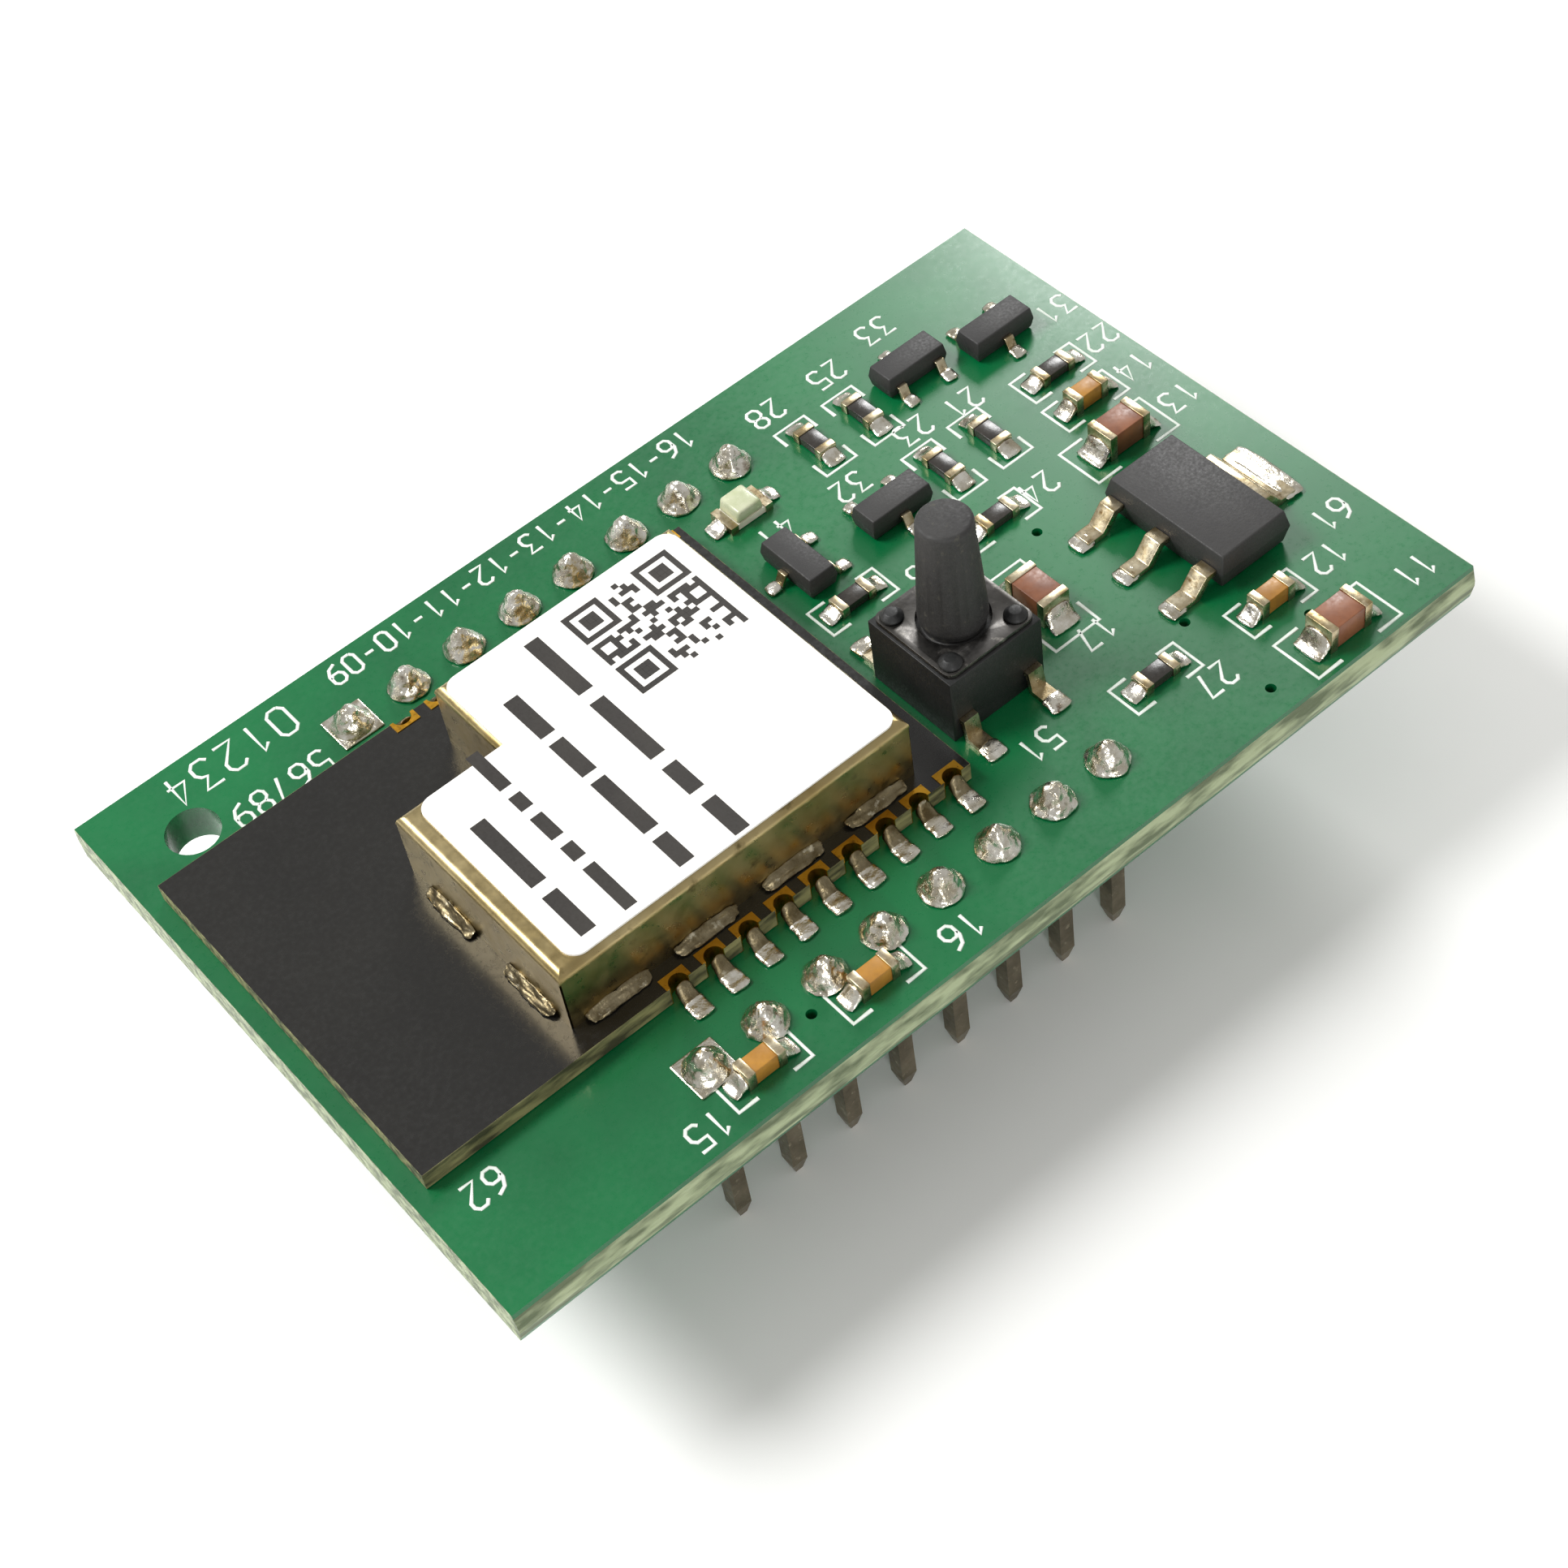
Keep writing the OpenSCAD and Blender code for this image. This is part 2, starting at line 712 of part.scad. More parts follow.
// Gull-wing lead along +X from x = 0 at height z down to the board
module gull_wing(reach, z, t, w) {
    wide(w) polygon([
        [0, z], [0, z + t], [reach * 0.28, z + t], [reach * 0.6, t],
        [reach, t], [reach, 0], [reach * 0.46, 0], [reach * 0.16, z]]);
}

reg_waist = 0.85;
tr_waist = 0.5;

module regulator_body() {
    color("#2a2928") placed(regulator_at)
        drafted_body(reg_w, reg_l, reg_h, reg_draft, reg_waist);
}

module regulator_leads() {
    color("#c2b38d") placed(regulator_at) rotate([0, 0, 180])
        for (y = [-1, 0, 1] * reg_pitch) translate([reg_w / 2, y, 0])
            gull_wing(reg_reach, reg_waist - reg_sheet / 2, reg_sheet, reg_lead_w);
}

module regulator_tab() {
    color("#8d8168") placed(regulator_at)
        translate([reg_w / 2, 0, 0])
            gull_wing(reg_reach, reg_waist - reg_sheet / 2, reg_sheet, reg_tab_w);
}

module transistor(i) {
    color("#2b2a29") placed(transistors[i - 1])
        drafted_body(tr_l, tr_w, tr_h, tr_draft, tr_waist);
}

module transistor_leads() {
    color("#b9ac8c") for (p = transistors) placed(p) {
        translate([0, -tr_w / 2, 0]) rotate([0, 0, -90])
            gull_wing(tr_reach, tr_waist - tr_sheet / 2, tr_sheet, tr_lead_w);
        for (x = [-1, 1] * tr_pitch / 2) translate([x, tr_w / 2, 0]) rotate([0, 0, 90])
            gull_wing(tr_reach, tr_waist - tr_sheet / 2, tr_sheet, tr_lead_w);
    }
}

// ------------------------------------------------------------ chip parts

// Ceramic block, a little smaller than the part that its metal ends wrap
module chip_core(l, w, h) {
    translate([0, 0, end_t]) block(l - 2 * end_t, w - 2 * end_t, h - 2 * end_t);
}

module chip_ends(l, w, h) {
    for (m = [0, 1]) mirror([m, 0, 0]) difference() {
        translate([l / 2 - end_l, -w / 2, 0]) cube([end_l, w, h]);
        chip_core(l, w, h);
    }
}

// Solder in front of both ends of a chip part
module end_fillets(l, w, h) {
    climb = h * 0.62;
    for (m = [0, 1]) mirror([m, 0, 0]) translate([l / 2, 0, 0]) wide(w)
        polygon([[0, 0], [0, climb], [fillet_l * 0.3, climb * 0.45],
            [fillet_l * 0.7, 0.1], [fillet_l, 0.06], [fillet_l, 0]]);
}

module large_capacitor(i) {
    color("#7a4a30") placed(large_caps[i]) chip_core(cap_l, cap_w, cap_h);
}

module small_capacitor(i) {
    color("#a5742f") placed(small_caps[i]) chip_core(small_l, small_w, small_cap_h);
}

module resistor(i) {
    color("#2d2b29") placed(resistors[i - 1]) chip_core(small_l, small_w, res_h);
}

module capacitor_ends() {
    color("#c8c1ae") {
        for (p = large_caps) placed(p) chip_ends(cap_l, cap_w, cap_h);
        for (p = small_caps) placed(p) chip_ends(small_l, small_w, small_cap_h);
    }
}

module resistor_ends() {
    color("#c8c1ae") for (p = resistors) placed(p) chip_ends(small_l, small_w, res_h);
}

module chip_solder() {
    color("#c6c3ba") {
        for (p = large_caps) placed(p) end_fillets(cap_l, cap_w, cap_h);
        for (p = small_caps) placed(p) end_fillets(small_l, small_w, small_cap_h);
        for (p = resistors) placed(p) end_fillets(small_l, small_w, res_h);
        placed(lamp_at) end_fillets(lamp_l, lamp_w, lamp_base_h);
    }
}

// ----------------------------------------------------------------- lamp

module lamp_base() {
    color("#e6e3d6") placed(lamp_at)
        chip_core(lamp_l, lamp_w, lamp_base_h);
}

module lamp_ends() {
    color("#c9b27a") placed(lamp_at)
        chip_ends(lamp_l, lamp_w, lamp_base_h);
}

module lamp_lens() {
    color("#d5d8b8") placed(lamp_at) translate([0, 0, lamp_base_h])
        wide(lamp_w - 2 * end_t) polygon([
            [-lens_l / 2, -end_t], [lens_l / 2, -end_t], [lens_l / 2 - 0.12, lens_h],
            [0.12 - lens_l / 2, lens_h]]);
}

// -------------------------------------------------------------- headers

module header_strip(y) {
    half = pin_pitch / 2;
    color("#1c1c1c") along_row(y) translate([0, 0, pin_tail]) difference() {
        linear_extrude(strip_h) polygon([
            [-half, strip_cut - strip_w / 2], [strip_cut - half, -strip_w / 2],
            [half - strip_cut, -strip_w / 2], [half, strip_cut - strip_w / 2],
            [half, strip_w / 2 - strip_cut], [half - strip_cut, strip_w / 2],
            [strip_cut - half, strip_w / 2], [-half, strip_w / 2 - strip_cut]]);
        translate([0, 0, -eps]) block(pin_side, pin_side, strip_h + 2 * eps);
    }
}

// Side view of a pin, tapered at both ends
module pin_section() {
    half = pin_side / 2;
    flat = pin_flat / 2;
    pin_top = top_z + pin_head;
    polygon([[-flat, 0], [flat, 0], [half, pin_taper], [half, pin_top - 0.2],
        [half - 0.12, pin_top], [0.12 - half, pin_top], [-half, pin_top - 0.2],
        [-half, pin_taper]]);
}

module header_pin() {
    intersection() {
        wide(pin_side) pin_section();
        rotate([0, 0, 90]) wide(pin_side) pin_section();
    }
}

module header_pins(y) {
    color("#8a8069") along_row(y) header_pin();
}

// Solder that fills a plated hole and closes over the end of the pin
module header_solder(y) {
    tip = pin_head + joint_cap;
    plug_r = pin_hole_d / 2 - 0.02;
    color("#b9b5ab") along_row(y) difference() {
        translate([0, 0, top_z]) rotate_extrude() polygon([
            [0, -board_t], [plug_r, -board_t], [plug_r, 0], [joint_d / 2, 0],
            [joint_d / 2 - 0.04, 0.08], [joint_d * 0.4, tip * 0.3],
            [joint_d * 0.33, tip * 0.55], [pin_side * 0.74, pin_head],
            [pin_side * 0.4, tip - 0.06], [pin_side * 0.2, tip], [0, tip]]);
        header_pin();
    }
}

// Solder round the feet of leads, legs and the cooling tab
module foot_solder(w, l) {
    wide(w) polygon([[0, 0], [0, 0.18], [l * 0.5, 0.1], [l, 0.06], [l, 0]]);
}

module lead_solder() {
    color("#c6c3ba") {
        placed(regulator_at) rotate([0, 0, 180])
            for (y = [-1, 0, 1] * reg_pitch)
                translate([reg_w / 2 + reg_reach, y, 0]) foot_solder(reg_lead_w + 0.2, 0.7);
        placed(regulator_at)
            translate([reg_w / 2 + reg_reach, 0, 0]) foot_solder(reg_tab_w + 0.4, 0.7);
        for (p = transistors) placed(p) {
            translate([0, -tr_w / 2 - tr_reach, 0]) rotate([0, 0, -90])
                foot_solder(tr_lead_w + 0.3, 0.45);
            for (x = [-1, 1] * tr_pitch / 2)
                translate([x, tr_w / 2 + tr_reach, 0]) rotate([0, 0, 90])
                    foot_solder(tr_lead_w + 0.3, 0.45);
        }
        on_switch() for (x = [-1, 1] * leg_pitch / 2, m = [0, 1]) mirror([0, m, 0])
            translate([x, -switch_side / 2 - leg_reach, 0]) rotate([0, 0, -90])
                foot_solder(leg_w + 0.2, 0.3);
    }
}

carrier_board();
module_board();
module_castellations();
shield_can();
can_label();
radio_chip();
memory_chip();
module_crystal();
module_passives();
can_solder();
castellation_solder();
switch_base();
switch_cover();
switch_plunger();
switch_dome();
switch_terminals();
regulator_body();
regulator_leads();
regulator_tab();
large_capacitor(0);  // capacitor_1
small_capacitor(0);  // capacitor_2
large_capacitor(1);  // capacitor_3
small_capacitor(1);  // capacitor_4
small_capacitor(2);  // capacitor_5
small_capacitor(3);  // capacitor_6
large_capacitor(2);  // capacitor_7
capacitor_ends();
resistor(1);  // resistor_1
resistor(2);  // resistor_2
resistor(3);  // resistor_3
resistor(4);  // resistor_4
resistor(5);  // resistor_5
resistor(6);  // resistor_6
resistor(7);  // resistor_7
resistor(8);  // resistor_8
resistor_ends();
transistor(1);  // transistor_1
transistor(2);  // transistor_2
transistor(3);  // transistor_3
transistor(4);  // transistor_4
transistor_leads();
lamp_base();
lamp_ends();
lamp_lens();
header_strip(front_row_y);  // header_strip_front
header_strip(back_row_y);  // header_strip_back
header_pins(front_row_y);  // header_pins_front
header_pins(back_row_y);  // header_pins_back
header_solder(front_row_y);  // header_solder_front
header_solder(back_row_y);  // header_solder_back
chip_solder();
lead_solder();
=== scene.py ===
# %% [markdown]
# # A wireless module on its carrier board
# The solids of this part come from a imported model: boards, shield can, switch,
# chip parts and pins, each in its true place. This lesson dresses them. Flat
# printing, solder, plating and rounded edges are modelled here, and every
# surface gets a material that is worked out from its own coordinates.

# %% Load the frame
import math
import bpy
from mathutils import Matrix, Vector


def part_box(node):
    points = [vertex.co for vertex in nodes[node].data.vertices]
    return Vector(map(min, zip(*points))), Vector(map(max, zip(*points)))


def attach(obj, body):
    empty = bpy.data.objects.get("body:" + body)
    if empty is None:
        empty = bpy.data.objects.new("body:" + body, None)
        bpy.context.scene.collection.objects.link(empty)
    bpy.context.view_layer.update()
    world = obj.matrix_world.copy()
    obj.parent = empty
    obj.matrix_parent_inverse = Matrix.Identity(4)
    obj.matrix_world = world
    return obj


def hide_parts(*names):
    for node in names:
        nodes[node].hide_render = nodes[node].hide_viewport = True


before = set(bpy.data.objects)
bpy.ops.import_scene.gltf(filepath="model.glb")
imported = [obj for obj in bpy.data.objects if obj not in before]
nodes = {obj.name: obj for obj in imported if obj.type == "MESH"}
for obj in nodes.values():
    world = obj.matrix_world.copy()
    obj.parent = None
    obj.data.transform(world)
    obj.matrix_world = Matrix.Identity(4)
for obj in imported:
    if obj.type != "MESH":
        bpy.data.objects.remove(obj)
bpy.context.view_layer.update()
MM = 0.001
BOARD, BUTTON = "board", "button"

# %% [markdown]
# The boards' faces are the levels that everything else sits on. They are read
# from the solids, so the dressing follows them if a size is changed.

# %% Levels and outlines
board_low, board_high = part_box("carrier_board")
module_low, module_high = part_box("module_board")
can_low, can_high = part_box("shield_can")
BOARD_TOP, MODULE_TOP = board_high.z, module_high.z
LABEL_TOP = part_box("can_label")[1].z
print("board top %.2f mm, module top %.2f mm, label top %.2f mm"
      % (BOARD_TOP / MM, MODULE_TOP / MM, LABEL_TOP / MM))

# %% [markdown]
# The camera stands off the near left corner and looks down at the board. Its
# place follows from a point to aim at, a distance and three angles, which are
# easier to read than a matrix. A small lens shift moves the board in the frame.

# %% Camera
def camera_axes(azimuth, elevation, roll):
    a, e, r = (math.radians(v) for v in (azimuth, elevation, roll))
    back = Vector((math.sin(a) * math.cos(e), -math.cos(a) * math.cos(e),
                   math.sin(e)))
    level = Vector((math.cos(a), math.sin(a), 0))
    upright = back.cross(level)
    right = level * math.cos(r) + upright * math.sin(r)
    return right, back.cross(right), back


AIM = Vector((-5.3 * MM, -2.05 * MM, BOARD_TOP))
CAMERA_DISTANCE = 98.2 * MM
right, up, back = camera_axes(azimuth=-29.02, elevation=51.47, roll=-12.69)
camera_data = bpy.data.cameras.new("camera")
camera_data.lens = 65.57
camera_data.sensor_width = 36
camera_data.shift_x = 0.0604
camera_data.shift_y = 0.0201
camera_data.clip_start = 1 * MM
camera = bpy.data.objects.new("camera", camera_data)
camera.matrix_world = Matrix.Translation(AIM + back * CAMERA_DISTANCE) @ \
    Matrix((right, up, back)).transposed().to_4x4()
bpy.context.scene.collection.objects.link(camera)
bpy.context.scene.camera = camera
print("camera at", [round(v / MM, 1) for v in camera.matrix_world.translation])

# %% [markdown]
# The light is a white room: an even world, one wide lamp high on the left that
# draws the gloss of the lacquer, and a second, weaker one behind. The floor is
# pale and stays white in the camera's view.

# %% Light and floor
scene = bpy.context.scene
scene.view_settings.view_transform = "Standard"
world = bpy.data.worlds.new("white_room")
scene.world = world
world.use_nodes = True
sky = world.node_tree
room = sky.nodes["Background"]
room.inputs["Color"].default_value = (1, 0.99, 0.97, 1)
room.inputs["Strength"].default_value = 0.5
backdrop = sky.nodes.new("ShaderNodeBackground")
backdrop.inputs["Color"].default_value = (1, 1, 1, 1)
backdrop.inputs["Strength"].default_value = 1
choice = sky.nodes.new("ShaderNodeMixShader")
path = sky.nodes.new("ShaderNodeLightPath")
sky.links.new(path.outputs["Is Camera Ray"], choice.inputs[0])
sky.links.new(room.outputs[0], choice.inputs[1])
sky.links.new(backdrop.outputs[0], choice.inputs[2])
sky.links.new(choice.outputs[0], sky.nodes["World Output"].inputs["Surface"])


def soft_lamp(name, place, size, watts):
    data = bpy.data.lights.new(name, "AREA")
    data.shape = "DISK"
    data.size = size
    data.energy = watts
    lamp = bpy.data.objects.new(name, data)
    lamp.location = place
    toward = Vector((0, 0, BOARD_TOP)) - Vector(place)
    lamp.rotation_euler = toward.to_track_quat("-Z", "Y").to_euler()
    scene.collection.objects.link(lamp)
    return lamp


soft_lamp("key_lamp", (-0.12, 0.10, 0.20), 0.10, 0.55)
soft_lamp("back_lamp", (0.16, 0.14, 0.14), 0.07, 0.25)
soft_lamp("side_lamp", (-0.10, -0.22, 0.12), 0.05, 0.15)

# %% [markdown]
# Small helpers come first. Nothing may be left selected from the import, so
# every tool starts from an empty selection, and a finished piece keeps its
# place in its mesh, with its object at the origin.

# %% Helpers for pieces
def only(obj=None):
    """Leave one object selected and active, or none."""
    if bpy.context.object and bpy.context.object.mode != "OBJECT":
        bpy.ops.object.mode_set(mode="OBJECT")
    bpy.ops.object.select_all(action="DESELECT")
    if obj:
        obj.select_set(True)
        bpy.context.view_layer.objects.active = obj


def settle(obj):
    only(obj)
    bpy.ops.object.transform_apply(location=True, rotation=True, scale=True)
    return obj


def apply_modifier(obj, name, kind, **settings):
    only(obj)
    modifier = obj.modifiers.new(name, kind)
    for key, value in settings.items():
        setattr(modifier, key, value)
    bpy.ops.object.modifier_apply(modifier=modifier.name)


def smooth(obj, degrees=40):
    only(obj)
    bpy.ops.object.shade_smooth_by_angle(angle=math.radians(degrees))


def block(name, low, high):
    middle = [(a + b) / 2 for a, b in zip(low, high)]
    size = [b - a for a, b in zip(low, high)]
    only()
    bpy.ops.mesh.primitive_cube_add(size=1, location=middle, scale=size)
    made = bpy.context.object
    made.name = made.data.name = name
    return settle(made)


def copy_at(source, name, x, y, z, turn=0):
    made = source.copy()
    made.data = source.data.copy()
    made.name = made.data.name = name
    scene.collection.objects.link(made)
    made.data.transform(Matrix.Translation((x, y, z))
                        @ Matrix.Rotation(math.radians(turn), 4, "Z"))
    return made


def joined(name, pieces):
    only(pieces[0])
    for piece in pieces:
        piece.select_set(True)
    bpy.ops.object.join()
    made = bpy.context.object
    made.name = made.data.name = name
    return made


def mount(obj, material, body=BOARD, instead_of=()):
    obj.data.materials.clear()
    obj.data.materials.append(material)
    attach(obj, body)
    if instead_of:
        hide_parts(*instead_of)
    return obj


print("helpers ready")

# %% [markdown]
# Every finish here is uneven in the same two ways: a broad drift of colour, and
# a fine grain that breaks up the gloss. Both come from one node group, placed
# in each material with its own scale and limits.

# %% Shared group for uneven surfaces
def add_node(tree, kind, inputs=None, **settings):
    made = tree.nodes.new(kind)
    for key, value in settings.items():
        setattr(made, key, value)
    for key, value in (inputs or {}).items():
        if isinstance(value, bpy.types.NodeSocket):
            tree.links.new(value, made.inputs[key])
        else:
            made.inputs[key].default_value = value
    return made


def build_mottle():
    group = bpy.data.node_groups.new("mottle", "ShaderNodeTree")
    for name, default in (("Scale", 1000), ("Low", 0.35), ("High", 0.65)):
        socket = group.interface.new_socket(
            name, in_out="INPUT", socket_type="NodeSocketFloat")
        socket.default_value = default
    group.interface.new_socket(
        "Mask", in_out="OUTPUT", socket_type="NodeSocketFloat")
    given = group.nodes.new("NodeGroupInput")
    result = group.nodes.new("NodeGroupOutput")
    place = add_node(group, "ShaderNodeTexCoord")
    noise = add_node(group, "ShaderNodeTexNoise", {
        "Vector": place.outputs["Object"], "Scale": given.outputs["Scale"],
        "Detail": 4.0, "Roughness": 0.6})
    spread = add_node(group, "ShaderNodeMapRange", {
        "Value": noise.outputs["Fac"], "From Min": given.outputs["Low"],
        "From Max": given.outputs["High"]}, clamp=True)
    group.links.new(spread.outputs["Result"], result.inputs["Mask"])
    return group


mottle_group = build_mottle()


def mottle(tree, scale, low=0.35, high=0.65):
    made = add_node(tree, "ShaderNodeGroup", node_tree=mottle_group)
    made.inputs["Scale"].default_value = scale
    made.inputs["Low"].default_value = low
    made.inputs["High"].default_value = high
    return made.outputs["Mask"]


def blend_colours(tree, mask, first, second):
    made = add_node(tree, "ShaderNodeMix", data_type="RGBA")
    tree.links.new(mask, made.inputs["Factor"])
    for socket, value in ((made.inputs[6], first), (made.inputs[7], second)):
        if isinstance(value, bpy.types.NodeSocket):
            tree.links.new(value, socket)
        else:
            socket.default_value = (*value, 1)
    return made.outputs[2]


print("group sockets:", [s.name for s in mottle_group.interface.items_tree])

# %% [markdown]
# A finish is a pair of colours, a range of roughness, and a grain that is felt
# as a bump. Metals, lacquers and plastics differ only in these values, so one
# builder serves them all, and each keeps its own shader.

# %% Builder for finishes
def srgb(code):
    parts = [int(code[i:i + 2], 16) / 255 for i in (0, 2, 4)]
    return tuple(v / 12.92 if v <= 0.04045 else ((v + 0.055) / 1.055) ** 2.4
                 for v in parts)


def finish(name, colours, rough, drift=400, grain=6000, bump=0.15, relief=10e-6,
           metallic=0.0, **constants):
    material = bpy.data.materials.new(name)
    material.use_nodes = True
    tree = material.node_tree
    shader = tree.nodes["Principled BSDF"]
    shader.inputs["Metallic"].default_value = metallic
    for key, value in constants.items():
        shader.inputs[key.replace("_", " ")].default_value = value
    broad = mottle(tree, drift)
    fine = mottle(tree, grain, 0.3, 0.7)
    colour = blend_colours(tree, broad, srgb(colours[0]), srgb(colours[1]))
    if len(colours) > 2:
        specks = mottle(tree, grain * 0.5, 0.6, 0.72)
        colour = blend_colours(tree, specks, colour, srgb(colours[2]))
    tree.links.new(colour, shader.inputs["Base Color"])
    spread = add_node(tree, "ShaderNodeMapRange", {
        "Value": fine, "To Min": rough[0], "To Max": rough[1]})
    tree.links.new(spread.outputs["Result"], shader.inputs["Roughness"])
    felt = add_node(tree, "ShaderNodeBump", {
        "Height": fine, "Strength": bump, "Distance": relief})
    tree.links.new(felt.outputs["Normal"], shader.inputs["Normal"])
    return material


gold = finish("gold_plating", ("d9a638", "b9852a", "8a6424"), (0.25, 0.45),
              metallic=1.0)
can_metal = finish("nickel_sheet", ("9a8657", "c2b184", "5f5334"), (0.24, 0.42),
                   drift=260, grain=1800, bump=0.25, metallic=1.0)
solder = finish("bright_solder", ("f2efe6", "b9b09a", "6a5640"), (0.12, 0.34),
                drift=1500, grain=3800, bump=0.5, relief=30e-6, metallic=1.0)
# Darker, browner solder with pale specks: painted shade, used on the necks and
# the can's seams.
painted_shade_solder = finish("solder_with_painted_shade", ("8d8268", "5d5138", "c9c2ac"),
                     (0.25, 0.5), drift=1400, grain=4200, bump=0.5, relief=30e-6,
                     metallic=1.0)
tinned = finish("tinned_sheet", ("d8cdb2", "a3906a", "6b5636"), (0.22, 0.4),
                drift=1500, grain=5000, bump=0.25, metallic=1.0)
pin_metal = finish("pin_plating", ("8f8470", "6f6654", "b5ab94"), (0.3, 0.5),
                   drift=700, grain=5000, metallic=1.0)
moulded = finish("moulded_case", ("2b2a2a", "353433"), (0.45, 0.65),
                 grain=9000, bump=0.35)
switch_plastic = finish("switch_plastic", ("151616", "1f1f1f"), (0.4, 0.6),
                        grain=9000, bump=0.3)
plunger_plastic = finish("plunger_plastic", ("242323", "2f2e2d", "45433c"),
                         (0.5, 0.7), drift=500, grain=7000, bump=0.6)
cover_metal = finish("dark_cover_sheet", ("6a6866", "4c4a47", "8d8a84"),
                     (0.3, 0.5), drift=500, grain=5000, metallic=1.0)
tan_ceramic = finish("tan_ceramic", ("b4802f", "96682a"), (0.3, 0.5), drift=900)
brown_ceramic = finish("brown_ceramic", ("8a573a", "6f432d"), (0.3, 0.5),
                       drift=900)
glaze = finish("dark_glaze", ("262320", "35312c"), (0.18, 0.3), drift=900)
paper = finish("label_paper", ("f4f2ee", "efece6"), (0.35, 0.5), drift=250,
               grain=3000, bump=0.08)
black_ink = finish("black_ink", ("231f1b", "2d2924"), (0.4, 0.55), grain=8000)
white_ink = finish("white_ink", ("e9efe8", "d3ddd2"), (0.45, 0.65), drift=1500,
                   grain=8000, bump=0.3)
strip_plastic = finish("strip_plastic", ("191919", "232323"), (0.4, 0.6))
lens_resin = finish("lens_resin", ("dfe3c2", "c6cfa4"), (0.15, 0.3), drift=1200,
                    Transmission_Weight=0.25)
lamp_white = finish("lamp_white", ("ece7d8", "dcd6c4"), (0.4, 0.6), drift=1200)
crystal_metal = finish("hidden_sheet", ("c4c1b6", "a8a498"), (0.25, 0.4),
                       metallic=1.0)
floor_white = finish("pale_floor", ("f8f8f6", "f6f6f4"), (0.6, 0.7), drift=5,
                     grain=300, bump=0.0)
print("finishes:", len(bpy.data.materials))

# %% [markdown]
# The carrier board is glass fibre under green lacquer. Its broad faces are
# lacquered and glossy, its sawn and snapped edges show pale fibre, streaked
# along the board where the score line broke. One material tells the two apart
# by how near a point lies to the outline.

# %% Lacquer over glass fibre
def board_material(name, lacquer, fibre, half_x, half_y, middle, rough, coat):
    material = bpy.data.materials.new(name)
    material.use_nodes = True
    tree = material.node_tree
    shader = tree.nodes["Principled BSDF"]
    shader.inputs["Coat Weight"].default_value = coat
    shader.inputs["Coat Roughness"].default_value = 0.12
    place = add_node(tree, "ShaderNodeTexCoord").outputs["Object"]
    centred = add_node(tree, "ShaderNodeVectorMath", {
        0: place, 1: middle}, operation="SUBTRACT").outputs[0]
    size = add_node(tree, "ShaderNodeVectorMath", {0: centred},
                    operation="ABSOLUTE").outputs[0]
    axes = add_node(tree, "ShaderNodeSeparateXYZ", {0: size})
    beyond_x = add_node(tree, "ShaderNodeMath", {
        0: axes.outputs[0], 1: half_x - 0.01 * MM}, operation="GREATER_THAN")
    beyond_y = add_node(tree, "ShaderNodeMath", {
        0: axes.outputs[1], 1: half_y - 0.01 * MM}, operation="GREATER_THAN")
    edge = add_node(tree, "ShaderNodeMath", {
        0: beyond_x.outputs[0], 1: beyond_y.outputs[0]}, operation="MAXIMUM")
    broad = mottle(tree, 120, 0.35, 0.7)
    green = blend_colours(tree, broad, srgb(lacquer[0]), srgb(lacquer[1]))
    stretched = add_node(tree, "ShaderNodeMapping", {
        "Vector": place, "Scale": (0.22, 1, 1)})
    streaks = add_node(tree, "ShaderNodeTexNoise", {
        "Vector": stretched.outputs[0], "Scale": 2600.0, "Detail": 5.0})
    spread = add_node(tree, "ShaderNodeMapRange", {
        "Value": streaks.outputs["Fac"], "From Min": 0.38, "From Max": 0.62})
    torn = blend_colours(tree, spread.outputs[0], srgb(fibre[0]), srgb(fibre[1]))
    colour = blend_colours(tree, edge.outputs[0], green, torn)
    tree.links.new(colour, shader.inputs["Base Color"])
    fine = mottle(tree, 5000, 0.3, 0.7)
    face_rough = add_node(tree, "ShaderNodeMapRange", {
        "Value": fine, "To Min": rough[0], "To Max": rough[1]}).outputs[0]
    edge_rough = add_node(tree, "ShaderNodeMath", {
        0: face_rough, 1: edge.outputs[0]}, operation="MAXIMUM")
    limited = add_node(tree, "ShaderNodeMath", {
        0: edge_rough.outputs[0], 1: 0.75}, operation="MINIMUM")
    tree.links.new(limited.outputs[0], shader.inputs["Roughness"])
    relief = add_node(tree, "ShaderNodeMath", {
        0: streaks.outputs["Fac"], 1: edge.outputs[0]}, operation="MULTIPLY")
    felt = add_node(tree, "ShaderNodeBump", {
        "Height": relief.outputs[0], "Strength": 0.9, "Distance": 0.12 * MM})
    tree.links.new(felt.outputs["Normal"], shader.inputs["Normal"])
    return material


board_half = (board_high - board_low) / 2
green_board = board_material(
    "green_lacquer", ("006a38", "005a30"), ("5d6a4a", "a9b58e"),
    board_half.x, board_half.y - 0.1 * MM, (0, 0, 0), (0.25, 0.38), 0.25)
module_mid = (module_low + module_high) / 2
module_half = (module_high - module_low) / 2
black_board = board_material(
    "black_lacquer", ("1a1916", "12110f"), ("8f8a5c", "3d3a22"),
    module_half.x, module_half.y, module_mid, (0.18, 0.32), 0.3)
print("board half size in mm:", [round(v / MM, 2) for v in board_half])

# %% [markdown]
# Nodes whose shape is already right keep it, and only take a finish.

# %% Dress the solids
def dress(material, *names):
    for name in names:
        for place in nodes[name].material_slots:
            place.material = material


